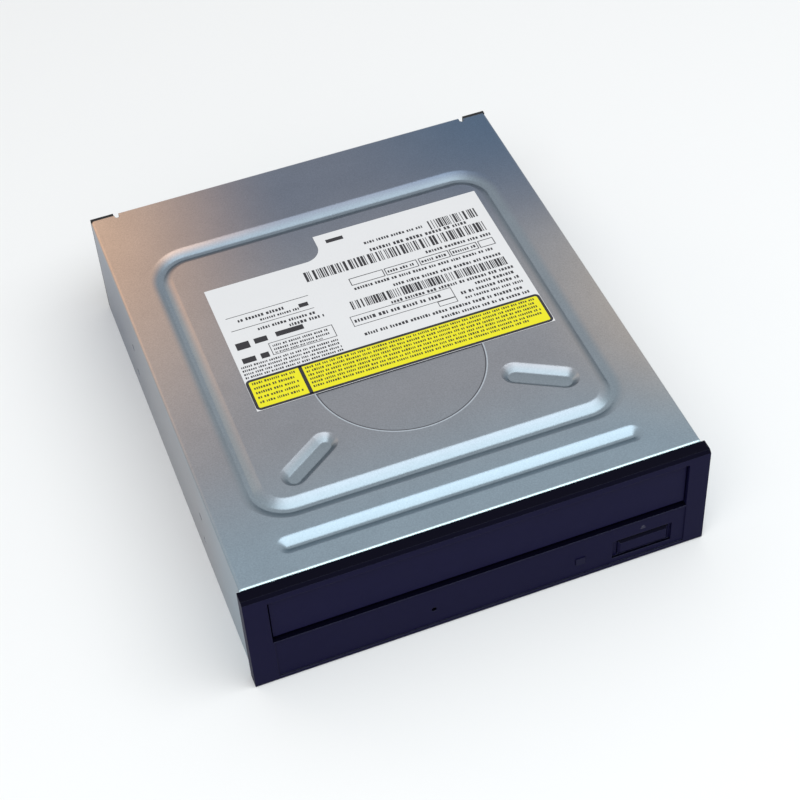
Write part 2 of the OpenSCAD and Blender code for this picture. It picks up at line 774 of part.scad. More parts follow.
module disc_tray() {
    color(black)
        difference() {
            union() {
                slab([-tray_x, -0.9, tray_bottom], [tray_x, spindle_y + disc_r + 4.25, rim_z]);
                post(0, spindle_y, small_r + 2, floor_z - 3.4, floor_z);
                pair([slot_x, spindle_y + 54, tray_bottom], [tray_x, tray_end, floor_z]);
                pair([tray_x - 2, -0.9, floor_z - 6.3], [tray_x, tray_end, floor_z]);
                pair([tray_x - 1, 4, track_low], [tray_x + runner_w, tray_end, track_high]);
                slab([-tray_x, -0.9, skirt_low], [tray_x, 1.3, rim_z]);
                // Edge walls round the pickup opening
                pair([slot_x, spindle_y, floor_z - 4], [slot_x + 1.8, tray_end, floor_z]);
                // Rack
                slab([rack_x - 4.4, 3, floor_z - 6.6], [rack_x - 1.2 * tray_m, tray_end - 1, floor_z - 1]);
                translate([rack_x, drive_y - 3.5 * PI * tray_m, 0])
                    mirror([1, 0, 0])
                        rotate(90)
                            rack_teeth(rack_count, tray_m, floor_z - 6.6, floor_z - 1.5);
            }
            tray_recess(disc_r, floor_z);
            tray_recess(small_r, floor_z - 1.4);
            post(0, spindle_y, slot_x, 10, 60);
            slab([-slot_x, spindle_y, 10], [slot_x, tray_end + 1, 60]);
            // Finger notch at the front of the recess
            translate([0, spindle_y - disc_r - 1, floor_z + 0.6])
                cylinder(h = 20, r = 9);
            // Weight-saving pockets under the corners
            for (side = [0, 1])
                mirror([side, 0, 0])
                    difference() {
                        union() {
                            slab([22, 2.6, 10], [tray_x - 2, spindle_y - 32, rim_z - 2]);
                            slab([22, spindle_y + 32, 10], [tray_x - 2, spindle_y + disc_r + 2.25,
                                rim_z - 2]);
                        }
                        post(0, spindle_y, disc_r + 2, 0, 60);
                        slab([0, 0, 0], [100, tray_end + 2, tray_bottom]);
                    }
        }
}

module clamper_bridge() {
    color(steel)
        difference() {
            union() {
                slab([-wall_x, spindle_y - bridge_half, bridge_z], [wall_x,
                    spindle_y + bridge_half, bridge_z + bridge_t]);
                for (y = [spindle_y - bridge_half, spindle_y + bridge_half - bridge_t])
                    slab([-deck_x, y, bridge_z], [deck_x, y + bridge_t, bridge_z + 2.6]);
            }
            post(0, spindle_y, 16.4, bridge_z - 1, bridge_z + 5);
            // Round openings that save sheet beside the clamp
            for (side = [-1, 1])
                post(side * (lift_x - 8), spindle_y, 12, bridge_z - 1, bridge_z + 8);
            for (side = [-1, 1], y = bridge_screw_y)
                post(side * bridge_screw_x, y, 1.2, bridge_z - 1, bridge_z + 3);
        }
}

module clamper() {
    top = bridge_z + bridge_t;
    color([0.88, 0.88, 0.85])
        difference() {
            union() {
                post(0, spindle_y, 15.4, clamp_low + 0.8, top);
                post(0, spindle_y, clamp_rim, top, top + 1.2);
                post(0, spindle_y, 13, top, top + 2.2);
            }
            // Ring that meets the disc, seat for the hub, well for the magnet
            post(0, spindle_y, 13, clamp_low - 1, clamp_low + 1.3);
            post(0, spindle_y, 8.4, clamp_low - 1, clamp_low + 3);
            post(0, spindle_y, 11.05, clamp_low + 3.8, top + 3);
        }
    color([0.88, 0.88, 0.85])
        difference() {
            post(0, spindle_y, 15.4, clamp_low, clamp_low + 1);
            post(0, spindle_y, 13, clamp_low - 1, clamp_low + 3);
        }
}

module clamper_magnet() {
    color([0.25, 0.25, 0.27])
        difference() {
            post(0, spindle_y, 11, clamp_low + 3.8, clamp_low + 6.2);
            post(0, spindle_y, 4, clamp_low, clamp_low + 8);
        }
}

module clamper_yoke() {
    color(steel)
        post(0, spindle_y, 11, clamp_low + 6.2, clamp_low + 7);
}

module loading_motor() {
    color([0.7, 0.71, 0.73])
        union() {
            post(motor_x, motor_y, motor_r, motor_low, belt_z - 2.9);
            post(motor_x, motor_y, 3.4, belt_z - 2.9, belt_z - 2.1);
            post(motor_x, motor_y, 0.75, belt_z - 2.1, belt_z + 2.6);
        }
}

// Grooved belt pulley turned about the origin
module sheave(r, z, bore) {
    rotate_extrude()
        polygon([[bore, z - 1.8], [r + 0.9, z - 1.8], [r + 0.9, z - 1.2], [r - 0.7, z - 0.72],
            [r - 0.7, z + 0.72],
            [r + 0.9, z + 1.2], [r + 0.9, z + 1.8], [bore, z + 1.8]]);
}

module motor_pulley() {
    color([0.85, 0.85, 0.8])
        translate([motor_x, motor_y, 0])
            sheave(pulley_r, belt_z, 0.76);
}

module drive_belt() {
    lean = asin((belt_r - pulley_r) / belt_span);
    half = 0.62;
    length = belt_span * cos(lean);
    turn = atan2(motor_y - belt_y, motor_x - belt_x);
    color([0.06, 0.06, 0.06])
        translate([belt_x, belt_y, belt_z - half])
            rotate(turn)
                union() {
                    for (side = [-1, 1])
                        rotate(side * (90 - lean))
                            translate([belt_r - half, side > 0 ? -length : 0, 0])
                                cube([2 * half, length, 2 * half]);
                    rotate(90 - lean)
                        rotate_extrude(angle = 180 + 2 * lean)
                            translate([belt_r - half, 0])
                                square(2 * half);
                    translate([belt_span, 0, 0])
                        rotate(lean - 90)
                            rotate_extrude(angle = 180 - 2 * lean)
                                translate([pulley_r - half, 0])
                                    square(2 * half);
                }
}

module belt_wheel() {
    bore = 1.5 + run;
    color([0.9, 0.9, 0.86])
        translate([belt_x, belt_y, 0])
            difference() {
                union() {
                    post(0, 0, 3, deck_top + 0.2, 11);
                    rotate(wheel_turn + 180 + 180 / pinion_teeth)
                        spur(pinion_teeth, step_m, 10.6, 15);
                    sheave(belt_r, belt_z, 0.2);
                }
                post(0, 0, bore, 0, 30);
                for (a = [0 : 72 : 359])
                    rotate(a)
                        post(7.4, 0, 1.7, 14, 20);
            }
}

module drive_gear() {
    color([0.9, 0.9, 0.86])
        translate([drive_x, drive_y, 0])
            difference() {
                union() {
                    post(0, 0, 4.6, deck_top + 0.2, tier_high - 0.4);
                    // Sector that shifts the cam slide, blank where it faces the slide at rest
                    rotate(180)
                        spur(cam_teeth, cam_m, 8, 10.4, 0, 15);
                    rotate(wheel_turn)
                        spur(wheel_teeth, step_m, 11.2, 14);
                    rotate(180)
                        spur(tray_teeth, tray_m, tier_low, tier_high);
                }
                post(0, 0, 1.5 + run, 0, 30);
                for (a = [0 : 60 : 359])
                    rotate(a)
                        post(9, 0, 1.9, 11, 15);
            }
}

module cam_slide() {
    y0 = 37.4;
    y1 = 40.4;
    cam_right = pin_x + cam_travel + 8;
    nose = drive_y + cam_r + 1.25 * cam_m;
    slope = atan2(cam_drop, cam_travel);
    slot_len = norm([cam_drop, cam_travel]);
    color([0.2, 0.2, 0.22])
        difference() {
            union() {
                slab([-pin_x - 8, y0, 3.5], [cam_right, y1, pin_z + 4.5]);
                slab([-pin_x - 8, drive_y + cam_r + 1.25 * cam_m, 8], [-8, y0, 10.4]);
                slab([20, 31.5, 3.5], [cam_right, y0, 5.2]);
                translate([drive_x + 6.6, drive_y + cam_r, 0])
                    mirror([0, 1, 0])
                        rack_teeth(5, cam_m, 8, 10.4);
                slab([drive_x + 5.9, drive_y + cam_r + 1.2 * cam_m, 8], [-25, y0, 10.4]);
                // Ramp that the release pin pushes aside
                translate([0, 0, deck_top + gap])
                    linear_extrude(release_z + 2 - deck_top - gap)
                        polygon([[release_x - 6, y0 + 0.5], [release_x - 4, nose], [release_x - 2.6, nose],
                            [release_x + 7, y0 + 0.5]]);
            }
            // Slanted slots that carry the lift pins, level at their upper ends
            for (x = [-pin_x, pin_x])
                translate([x, 0, pin_z])
                    rotate([0, slope, 0])
                        union() {
                            slab([0, y0 - 1, -pivot_r - gap], [slot_len, y1 + 1, pivot_r + gap]);
                            rod_y(0, 0, pivot_r + gap, y0 - 1, y1 + 1);
                            rod_y(slot_len, 0, pivot_r + gap, y0 - 1, y1 + 1);
                        }
        }
}

module lift_frame() {
    low = lift_low;
    high = lift_high;
    color([0.14, 0.14, 0.16])
        difference() {
            union() {
                slab([-lift_x, 42, low], [lift_x, lift_back, high]);
                for (x = [-pin_x, pin_x])
                    rod_y(x, pin_z, pivot_r, 36.6, 43);
                for (side = [-1, 1])
                    rod_x(pivot_y, pivot_z, pivot_r, side * (lift_x + 1.8) - 2.8,
                        side * (lift_x + 1.8) + 2.8);
            }
            slab([6 - lift_x, 46.4, low - 1], [lift_x - 6, pivot_y - 3, high + 1]);
            // Channels under the arms
            pair([lift_x - 4, 60, low - 1], [lift_x - 1.6, pivot_y - 12, high - 1.4]);
        }
    color([0.14, 0.14, 0.16])
        for (p = damper_spots)
            difference() {
                slab([p[0] - 5.2, p[1] < spindle_y ? 46 : p[1] - 3.8, low],
                    [p[0] + 5.2, p[1] < spindle_y ? p[1] + 3.4 : pivot_y - 2.6, low + 1.6]);
                post(p[0], p[1], 1.02, 0, 30);
            }
}

module mech_chassis() {
    color(steel)
        difference() {
            union() {
                slab([7 - lift_x, 47, chassis_z], [lift_x - 7, pivot_y - 3.6, chassis_top]);
                // Upright tabs that hold the rods and the lead screw
                for (x = [side_rod_x, main_rod_x], y = [front_tab, rear_tab])
                    slab([x - 3, y, chassis_z], [x + 3, y + tab_t, rod_z + 2.4]);
                slab([screw_x - 3.6, rear_tab, chassis_z], [screw_x + 3, rear_tab + tab_t, rod_z + 3]);
                slab([screw_x - 6.4, 65.6, chassis_z], [screw_x + 6, 66.6, rod_z + 5]);
            }
            difference() {
                slab([side_rod_x - 4, front_tab + tab_t, 0], [screw_x - 1.6, rear_tab, chassis_top + 1.1]);
                post(0, spindle_y, 16.6, 0, 40);
            }
            slab([screw_x - 6.3, 53.4, 0], [screw_x + 6.3, 65.6, chassis_top + 0.6]);
            post(0, spindle_y, 6, 0, 40);
            for (p = damper_spots)
                post(p[0], p[1], 1.8, 0, 30);
            rod_y(side_rod_x, rod_z, rod_r + 0.01, front_tab - 1, rear_tab + 2);
            rod_y(main_rod_x, rod_z, rod_r + 0.01, front_tab - 1, rear_tab + 2);
            rod_y(screw_x, rod_z, 1 + run, rear_tab - 1, rear_tab + 2);
            rod_y(screw_x, rod_z, 2.2, 65, 67);
            // Lightening holes
            for (x = [-26, 22])
                post(x, 57, 5, 0, 40);
        }
}

module dampers() {
    color([0.08, 0.08, 0.08])
        for (p = damper_spots)
            translate([p[0], p[1], 0])
                rotate_extrude()
                    polygon([[1.1, damper_seat], [3, damper_seat], [3.3, damper_seat + 1.1], [3, chassis_z],
                        [1.8, chassis_z], [1.8, chassis_top], [3, chassis_top], [3, damper_top],
                            [1.1, damper_top]]);
}

module damper_screws() {
    color([0.75, 0.75, 0.78])
        for (p = damper_spots)
            difference() {
                union() {
                    post(p[0], p[1], 1, lift_low + 0.1, damper_top);
                    post(p[0], p[1], 2.6, damper_top, damper_top + 1);
                }
                translate([p[0], p[1], damper_top + 0.5])
                    cross_slot();
            }
}

module spindle_base() {
    color([0.66, 0.67, 0.7])
        difference() {
            union() {
                post(0, spindle_y, 16, chassis_top, chassis_top + 1);
                slab([-10, 48.5, chassis_top], [10, spindle_y, chassis_top + 1]);
                post(0, spindle_y, 4, chassis_z - 2.6, chassis_z + 7.8);
            }
            post(0, spindle_y, 1.03, chassis_z - 1.6, chassis_z + 14);
        }
}

module spindle_rotor() {
    color([0.72, 0.72, 0.74])
        union() {
            difference() {
                post(0, spindle_y, 14.4, chassis_top + 1.8, seat_z - 4);
                post(0, spindle_y, 13.6, chassis_top, seat_z - 4.8);
            }
            post(0, spindle_y, 1, chassis_z - 1.2, seat_z - 1.6);
        }
}

module turntable() {
    color([0.1, 0.1, 0.11])
        difference() {
            translate([0, spindle_y, 0])
                rotate_extrude()
                    polygon([[0, seat_z - 4], [14.2, seat_z - 4], [15, seat_z - 2.6], [15,
                        seat_z - 0.3], [9.6, seat_z - 0.3],
                        [9.6, seat_z - 0.6], [7.45, seat_z - 0.6], [7.45, seat_z + 0.9], [6.2, seat_z + 2],
                        [0, seat_z + 2]]);
            post(0, spindle_y, 1.01, seat_z - 10, seat_z - 1.6);
        }
}

module turntable_pad() {
    color([0.2, 0.2, 0.2])
        difference() {
            post(0, spindle_y, 14.8, seat_z - 0.3, seat_z);
            post(0, spindle_y, 10, seat_z - 2, seat_z + 2);
        }
}

module main_rod() {
    color([0.8, 0.8, 0.82])
        rod_y(main_rod_x, rod_z, rod_r, front_tab - 0.4, rear_tab + 1.8);
}

module side_rod() {
    color([0.8, 0.8, 0.82])
        rod_y(side_rod_x, rod_z, rod_r, front_tab - 0.4, rear_tab + 1.8);
}

module pickup_body() {
    color([0.6, 0.6, 0.62])
        difference() {
            union() {
                slab([-22, sled_front, sled_low], [24, sled_back, sled_top]);
                for (y = [sled_front, sled_back - 6.5])
                    slab([20, y, rod_z - 2.8], [main_rod_x + 4.4, y + 6.5, rod_z + 3]);
                slab([side_rod_x - 2.6, lens_y - 3.5, rod_z - 2.6], [-20, lens_y + 3.5, rod_z + 2.6]);
            }
            post(0, spindle_y, 17.6, 0, 60);
            rod_y(main_rod_x, rod_z, rod_r + run, 60, 150);
            // Fork over the second rod
            slab([side_rod_x - 5, 60, rod_z - rod_r - run], [side_rod_x + 1.9, 150, rod_z + rod_r + run]);
            // Well for the lens drive and side pockets
            slab([-9, lens_y - 6, rod_z - 2], [9, lens_y + 10, 60]);
            slab([-20, lens_y - 8, rod_z + 2], [-13, lens_y + 12, 60]);
            slab([13, lens_y - 8, rod_z + 2], [22, lens_y + 12, 60]);
        }
}

module pickup_cover() {
    color([0.3, 0.3, 0.32])
        difference() {
            slab([-11.4, lens_y - 6.8, sled_top], [11.4, lens_y + 11.4, sled_top + 2.8]);
            slab([-10.8, lens_y - 6.2, sled_top - 1], [10.8, lens_y + 10.8, sled_top + 2.2]);
            slab([-8, lens_y - 5, sled_top - 1], [8, lens_y + 5, sled_top + 6]);
        }
}

module lens_holder() {
    color([0.12, 0.12, 0.13])
        difference() {
            union() {
                slab([-7.6, lens_y - 4, rod_z + 2], [7.6, lens_y + 4, holder_top]);
                post(0, lens_y, 3.4, holder_top, holder_top + 1);
            }
            post(0, lens_y, lens_r + 0.01, holder_top - 1, holder_top + 3);
            post(0, lens_y, 1.6, rod_z, holder_top);
            pair([3, lens_y - 2.6, rod_z], [5, lens_y + 2.6, holder_top - 2.2]);
        }
}

module objective_lens() {
    color([0.55, 0.65, 0.85, 0.6])
        intersection() {
            post(0, lens_y, lens_r, holder_top - 1, holder_top + 2);
            translate([0, lens_y, holder_top - 2.6])
                sphere(r = 4.1);
        }
}

module sled_nut() {
    color([0.9, 0.9, 0.86])
        difference() {
            union() {
                slab([main_rod_x + 4.4, sled_front + 0.5, chassis_top + gap], [screw_x + 2.6,
                    sled_front + 5.5, rod_z + 2.8]);
                slab([main_rod_x + 2, sled_front + 0.5, rod_z + 3], [screw_x + 2.6,
                    sled_front + 5.5, rod_z + 3.8]);
                slab([screw_x + 0.6, sled_front + 0.5, rod_z + 2], [screw_x + 2.6,
                    sled_front + 5.5, rod_z + 3.8]);
            }
            rod_y(screw_x, rod_z, 1.5 + 0.06, 60, 150);
            slab([screw_x - 1.2, 60, rod_z - 9], [screw_x + 1.2, 150, rod_z]);
        }
}

module sled_motor() {
    color([0.72, 0.72, 0.74])
        difference() {
            union() {
                rod_y(screw_x, rod_z, 6, 53.8, 65.6);
                slab([screw_x - 2.6, 54.6, rod_z - 6], [screw_x + 2.6, 64.8, rod_z - 4]);
            }
            rod_y(screw_x, rod_z, 1 + run, 60, 66);
        }
}

module lead_screw() {
    color([0.82, 0.82, 0.84])
        union() {
            rod_y(screw_x, rod_z, 1, 61, rear_tab + 1.6);
            rod_y(screw_x, rod_z, 1.5, 67.2, rear_tab - 0.6);
        }
}

// Flat cable from the pickup's underside to the main board
module pickup_flex() {
    w = 9;
    t = 0.2;
    z0 = sled_low - 0.3;
    z1 = 7.4;
    r = (z0 - z1) / 2;
    y = sled_back + 19;
    color([0.75, 0.5, 0.2])
        union() {
            slab([-w, lens_y, z0], [w, y, z0 + t]);
            slab([-w, 98, z1], [w, y, z1 + t]);
            translate([-w, y, z1 + r + t / 2])
                rotate([90, 0, 90])
                    difference() {
                        cylinder(h = 2 * w, r = r + t / 2);
                        cylinder(h = 5 * w, r = r - t / 2, center = true);
                        translate([-20, -10, -1])
                            cube([20, 20, 3 * w]);
                    }
            slab([-w, 98, socket_top], [w, 98 + t, z1 + t]);
        }
}

module main_board() {
    color([0.1, 0.32, 0.16])
        difference() {
            slab([-board_x, board_front, board_low], [board_x, rear_y - 1.4, board_top]);
            for (side = [-1, 1])
                post(side * case_screw_x, case_screw_y[1], 1.6, 0, 6);
            // Notches round the rear floor screws and the corner posts
            pair([board_x - 3.6, row_y + row_gap - 6.65, 0], [board_x + 4, row_y + row_gap + 6.35, 6]);
            pair([ear_x + 1.3, case_d - 12.5, 0], [board_x + 4, case_d + 3, 6]);
        }
}

module chip(x, y, w, d, z, h) {
    slab([x - w / 2, y - d / 2, z + 0.1], [x + w / 2, y + d / 2, z + h]);
    for (i = [1 - w / 2 : 1.6 : w / 2 - 1])
        slab([x + i - 0.3, y - d / 2 - 1, z], [x + i + 0.3, y + d / 2 + 1, z + 0.35]);
}

module controller_chip() {
    color([0.09, 0.09, 0.1])
        chip(-16, case_d - 38.5, 20, 20, board_top, 1.5);
}

module driver_chip() {
    color([0.09, 0.09, 0.1])
        chip(board_x - 26, 112, 12, 9, board_top, 2);
}

module memory_chip() {
    color([0.09, 0.09, 0.1])
        union() {
            chip(14, case_d - 36.5, 18, 9, board_top, 1.2);
            chip(24 - board_x, case_d - 44.5, 6, 5, board_top, 1.6);
        }
}

module capacitors() {
    color([0.75, 0.76, 0.8])
        for (p = [[18 - board_x, case_d - 30.5], [10 - board_x, case_d - 30.5], [board_x - 22,
            case_d - 28.5],
            [board_x - 14, case_d - 38.5], [26 - board_x, case_d - 30.5]])
            union() {
                post(p[0], p[1], 2.5, board_top + 0.6, board_top + 5.4);
                slab([p[0] - 2.7, p[1] - 2.7, board_top], [p[0] + 2.7, p[1] + 2.7, board_top + 0.8]);
            }
}

module flex_socket() {
    color([0.9, 0.89, 0.84])
        union() {
            slab([-12, 96, board_top], [12, 100, socket_top]);
            slab([20, board_front + 4, board_top], [32, board_front + 8, socket_top]);
            slab([board_x - 20, board_front + 4, board_top], [board_x - 10, board_front + 8, socket_top]);
        }
}

module data_connector() {
    color([0.08, 0.08, 0.09])
        difference() {
            slab([data_x - 29.2, case_d - 9.2, board_top], [data_x + 29.2, case_d, 13.3]);
            slab([data_x - 28, case_d - 7, data_z - 3.25], [data_x + 28, case_d + 1, data_z + 3.25]);
            slab([data_x - 2.25, case_d - 7, data_z], [data_x + 2.25, case_d + 1, 14]);
            for (i = [0 : 19], row = [-1, 1])
                translate([data_x + (i - 9.5) * pin_pitch - pin_w / 2, case_d - 10,
                    data_z + (row * pin_pitch - pin_w) / 2])
                    cube([pin_w, 4, pin_w]);
        }
}

// Square pin along Y at height z, bent down to the board at its inner end
module post_pin(x, z, y0, y1) {
    slab([x - pin_w / 2, y0, z - pin_w / 2], [x + pin_w / 2, y1, z + pin_w / 2]);
    slab([x - pin_w / 2, y0, board_top], [x + pin_w / 2, y0 + pin_w, z]);
}

module data_pins() {
    color([0.85, 0.7, 0.35])
        for (i = [0 : 19], row = [-1, 1])
            if (!(i == 10 && row == 1))
                post_pin(data_x + (i - 9.5) * pin_pitch, data_z + row * pin_pitch / 2,
                    case_d - 11.8 - row * 1.2, case_d - 1.5);
}

module power_connector() {
    color([0.85, 0.84, 0.8])
        difference() {
            slab([power_x - power_w / 2, case_d - 12, board_top], [power_x + power_w / 2, case_d, 15.2]);
            translate([power_x, case_d + 1, power_z])
                rotate([90, 0, 0])
                    linear_extrude(10.5)
                        polygon([[-10.4, -4], [10.4, -4], [10.4, 2.2], [8.6, 4], [-8.6, 4], [-10.4, 2.2]]);
            for (i = [0 : 3])
                rod_y(power_x + (i - 1.5) * 5.08, power_z, 1.05, case_d - 13, case_d - 8);
        }
}

module power_pins() {
    color([0.8, 0.78, 0.7])
        for (i = [0 : 3])
            union() {
                rod_y(power_x + (i - 1.5) * 5.08, power_z, 1.05, case_d - 14.4, case_d - 2.5);
                post(power_x + (i - 1.5) * 5.08, case_d - 13.5, 0.9, board_top, power_z);
            }
}

module jumper_block() {
    color([0.08, 0.08, 0.09])
        difference() {
            slab([jumper_x - 3.9, case_d - 8, board_top], [jumper_x + 3.9, case_d - 5.4, 10.2]);
            for (i = [-1, 0, 1], row = [-1, 1])
                translate([jumper_x + i * pin_pitch - pin_w / 2, case_d - 9,
                    jumper_z + (row * pin_pitch - pin_w) / 2])
                    cube([pin_w, 5, pin_w]);
        }
}

module jumper_pins() {
    color([0.85, 0.7, 0.35])
        for (i = [-1, 0, 1], row = [-1, 1])
            post_pin(jumper_x + i * pin_pitch, jumper_z + row * pin_pitch / 2, case_d - 10.2, case_d - 0.8);
}

module jumper_cap() {
    x = jumper_x + pin_pitch;
    hole = pin_w + 0.02;
    color([0.1, 0.1, 0.11])
        difference() {
            slab([x - 1.2, case_d - 4.6, jumper_z - 2.5], [x + 1.2, case_d - 0.3, jumper_z + 2.5]);
            for (row = [-1, 1])
                translate([x - hole / 2, case_d - 5, jumper_z + (row * pin_pitch - hole) / 2])
                    cube([hole, 4.3, hole]);
        }
}

module audio_socket(x, w, pins) {
    difference() {
        slab([x - w / 2, case_d - 9, board_top], [x + w / 2, case_d, 11.4]);
        slab([x - w / 2 + 0.8, case_d - 7, board_top + 1.4], [x + w / 2 - 0.8, case_d + 1, 10.4]);
        slab([x - 1.5, case_d - 7, 10], [x + 1.5, case_d + 1, 12]);
    }
    for (i = [0 : pins - 1])
        translate([x + (i - (pins - 1) / 2) * pin_pitch - pin_w / 2, case_d - 7.5, 7.6])
            cube([pin_w, 6, pin_w]);
}

module audio_connectors() {
    color([0.12, 0.12, 0.13])
        union() {
            audio_socket(audio_x, 11.6, 4);
            audio_socket(audio_x + audio_step, 5.6, 2);
        }
}

module case_screws() {
    color([0.7, 0.71, 0.73])
        for (side = [-1, 1], y = case_screw_y)
            translate([side * case_screw_x, y, 0])
                difference() {
                    union() {
                        cylinder(h = sheet - 0.02, r1 = 2.25, r2 = 1.38);
                        cylinder(h = 5.6, r = 1);
                    }
                    translate([0, 0, -0.6])
                        cross_slot();
                }
}

module bridge_screws() {
    color([0.7, 0.71, 0.73])
        for (side = [-1, 1], y = bridge_screw_y)
            difference() {
                union() {
                    post(side * bridge_screw_x, y, 2.1, bridge_z + bridge_t, bridge_z + bridge_t + 1.3);
                    post(side * bridge_screw_x, y, 0.9, bridge_z - 4, bridge_z + bridge_t);
                }
                translate([side * bridge_screw_x, y, bridge_z + bridge_t + 0.7])
                    cross_slot();
            }
}

module gear_screws() {
    color([0.7, 0.71, 0.73])
        union() {
            post(belt_x, belt_y, 0.7, 15, 18.2);
            post(belt_x, belt_y, 2.4, 18.45, 19.2);
            post(belt_x, belt_y, 1.2, 18.2, 18.5);
        }
}

top_cover();
bottom_cover();
main_frame();
front_bezel();
label();
label_band();
led_lens();
eject_button();
switch_plunger();
eject_switch();
status_led();
front_board();
tray_door();
disc_tray();
clamper_bridge();
clamper();
clamper_magnet();
clamper_yoke();
loading_motor();
motor_pulley();
drive_belt();
belt_wheel();
drive_gear();
cam_slide();
lift_frame();
mech_chassis();
dampers();
damper_screws();
spindle_base();
spindle_rotor();
turntable();
turntable_pad();
main_rod();
side_rod();
pickup_body();
pickup_cover();
lens_holder();
objective_lens();
sled_nut();
sled_motor();
lead_screw();
pickup_flex();
main_board();
controller_chip();
driver_chip();
memory_chip();
capacitors();
flex_socket();
data_connector();
data_pins();
power_connector();
power_pins();
jumper_block();
jumper_pins();
jumper_cap();
audio_connectors();
case_screws();
bridge_screws();
gear_screws();
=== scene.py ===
import json
import math
import bpy
import numpy as np
from mathutils import Euler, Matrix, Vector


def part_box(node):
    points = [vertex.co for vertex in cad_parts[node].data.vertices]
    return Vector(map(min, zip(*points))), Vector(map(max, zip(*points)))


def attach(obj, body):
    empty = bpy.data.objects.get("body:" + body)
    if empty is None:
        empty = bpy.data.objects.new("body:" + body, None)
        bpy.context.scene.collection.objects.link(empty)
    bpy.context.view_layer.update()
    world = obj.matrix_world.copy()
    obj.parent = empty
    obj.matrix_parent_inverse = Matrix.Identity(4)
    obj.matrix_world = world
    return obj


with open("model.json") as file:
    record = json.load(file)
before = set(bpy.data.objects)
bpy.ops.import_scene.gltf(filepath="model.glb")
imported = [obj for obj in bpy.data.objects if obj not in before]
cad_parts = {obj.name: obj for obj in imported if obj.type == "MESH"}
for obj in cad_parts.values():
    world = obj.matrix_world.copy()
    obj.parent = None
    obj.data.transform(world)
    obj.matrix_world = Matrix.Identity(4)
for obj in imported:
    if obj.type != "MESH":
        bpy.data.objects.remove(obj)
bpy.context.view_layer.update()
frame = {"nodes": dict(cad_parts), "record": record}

nodes = frame["nodes"]
mm = 0.001
print("frame loaded:", len(nodes), "nodes")


# One call makes a node, sets its inputs by name or number and links what is given as a socket.
def put(tree, kind, inputs=None, **settings):
    made = tree.nodes.new(kind)
    for key, value in settings.items():
        setattr(made, key, value)
    for key, value in (inputs or {}).items():
        if isinstance(value, bpy.types.NodeSocket):
            tree.links.new(value, made.inputs[key])
        else:
            made.inputs[key].default_value = value
    return made


def calc(tree, operation, a, b=0.0, c=0.0, clamp=False):
    return put(tree, "ShaderNodeMath", {0: a, 1: b, 2: c}, operation=operation, use_clamp=clamp).outputs[0]


def blendColour(tree, factor, a, b, mode="MIX"):
    made = put(tree, "ShaderNodeMix", {0: factor, 6: a, 7: b}, data_type="RGBA", blend_type=mode)
    return made.outputs[2]


def colour(r, g, b):
    return (r, g, b, 1.0)


# Starts a material and returns its tree and its Principled shader
def startFinish(name, **fixed):
    made = bpy.data.materials.new(name)
    made.use_nodes = True
    tree = made.node_tree
    shader = tree.nodes["Principled BSDF"]
    for key, value in fixed.items():
        shader.inputs[key.replace("_", " ")].default_value = value
    return made, tree, shader


# Group: fine grain from two noises, as a height and a 0 to 1 mottle
def grainGroup():
    group = bpy.data.node_groups.new("surfaceGrain", "ShaderNodeTree")
    face = group.interface
    face.new_socket("Size", in_out="INPUT", socket_type="NodeSocketFloat")
    face.new_socket("Stretch", in_out="INPUT", socket_type="NodeSocketFloat")
    face.new_socket("Fine", in_out="OUTPUT", socket_type="NodeSocketFloat")
    face.new_socket("Mottle", in_out="OUTPUT", socket_type="NodeSocketFloat")
    start = group.nodes.new("NodeGroupInput")
    end = group.nodes.new("NodeGroupOutput")
    coords = put(group, "ShaderNodeTexCoord").outputs["Object"]
    scale = put(group, "ShaderNodeCombineXYZ", {0: 1.0, 1: start.outputs["Stretch"], 2: 1.0}).outputs[0]
    placed = put(group, "ShaderNodeVectorMath", {0: coords, 1: scale}, operation="MULTIPLY").outputs[0]
    # Tilted, so that no flat face lies in a plane of the noise's own lattice
    placed = put(group, "ShaderNodeMapping", {"Vector": placed, "Rotation": (0.6, 0.4, 0.3)}).outputs[0]
    fine = put(group, "ShaderNodeTexNoise", {"Vector": placed, "Scale": start.outputs["Size"], "Detail": 3.0})
    wide = calc(group, "MULTIPLY", start.outputs["Size"], 0.045)
    broad = put(group, "ShaderNodeTexNoise", {"Vector": placed, "Scale": wide, "Detail": 4.0})
    group.links.new(fine.outputs["Fac"], end.inputs["Fine"])
    group.links.new(broad.outputs["Fac"], end.inputs["Mottle"])
    return group


surfaceGrain = grainGroup()


def addGrain(tree, size, stretch=1.0):
    made = put(tree, "ShaderNodeGroup")
    made.node_tree = surfaceGrain
    made.inputs["Size"].default_value = size
    made.inputs["Stretch"].default_value = stretch
    return made.outputs["Fine"], made.outputs["Mottle"]


# Relief from a height, over edges that are rounded by the given radius
def addBump(tree, shader, height, strength, distance, edge=0.0):
    bump = put(tree, "ShaderNodeBump", {"Height": height, "Strength": strength, "Distance": distance})
    if edge:
        rounded = put(tree, "ShaderNodeBevel", {"Radius": edge}, samples=6)
        tree.links.new(rounded.outputs[0], bump.inputs["Normal"])
    tree.links.new(bump.outputs[0], shader.inputs["Normal"])


# Range of a value mapped to 0 to 1
def ramp(tree, value, low, high):
    made = put(tree, "ShaderNodeMapRange", {"Value": value, "From Min": low, "From Max": high},
               interpolation_type="SMOOTHSTEP")
    return made.outputs[0]


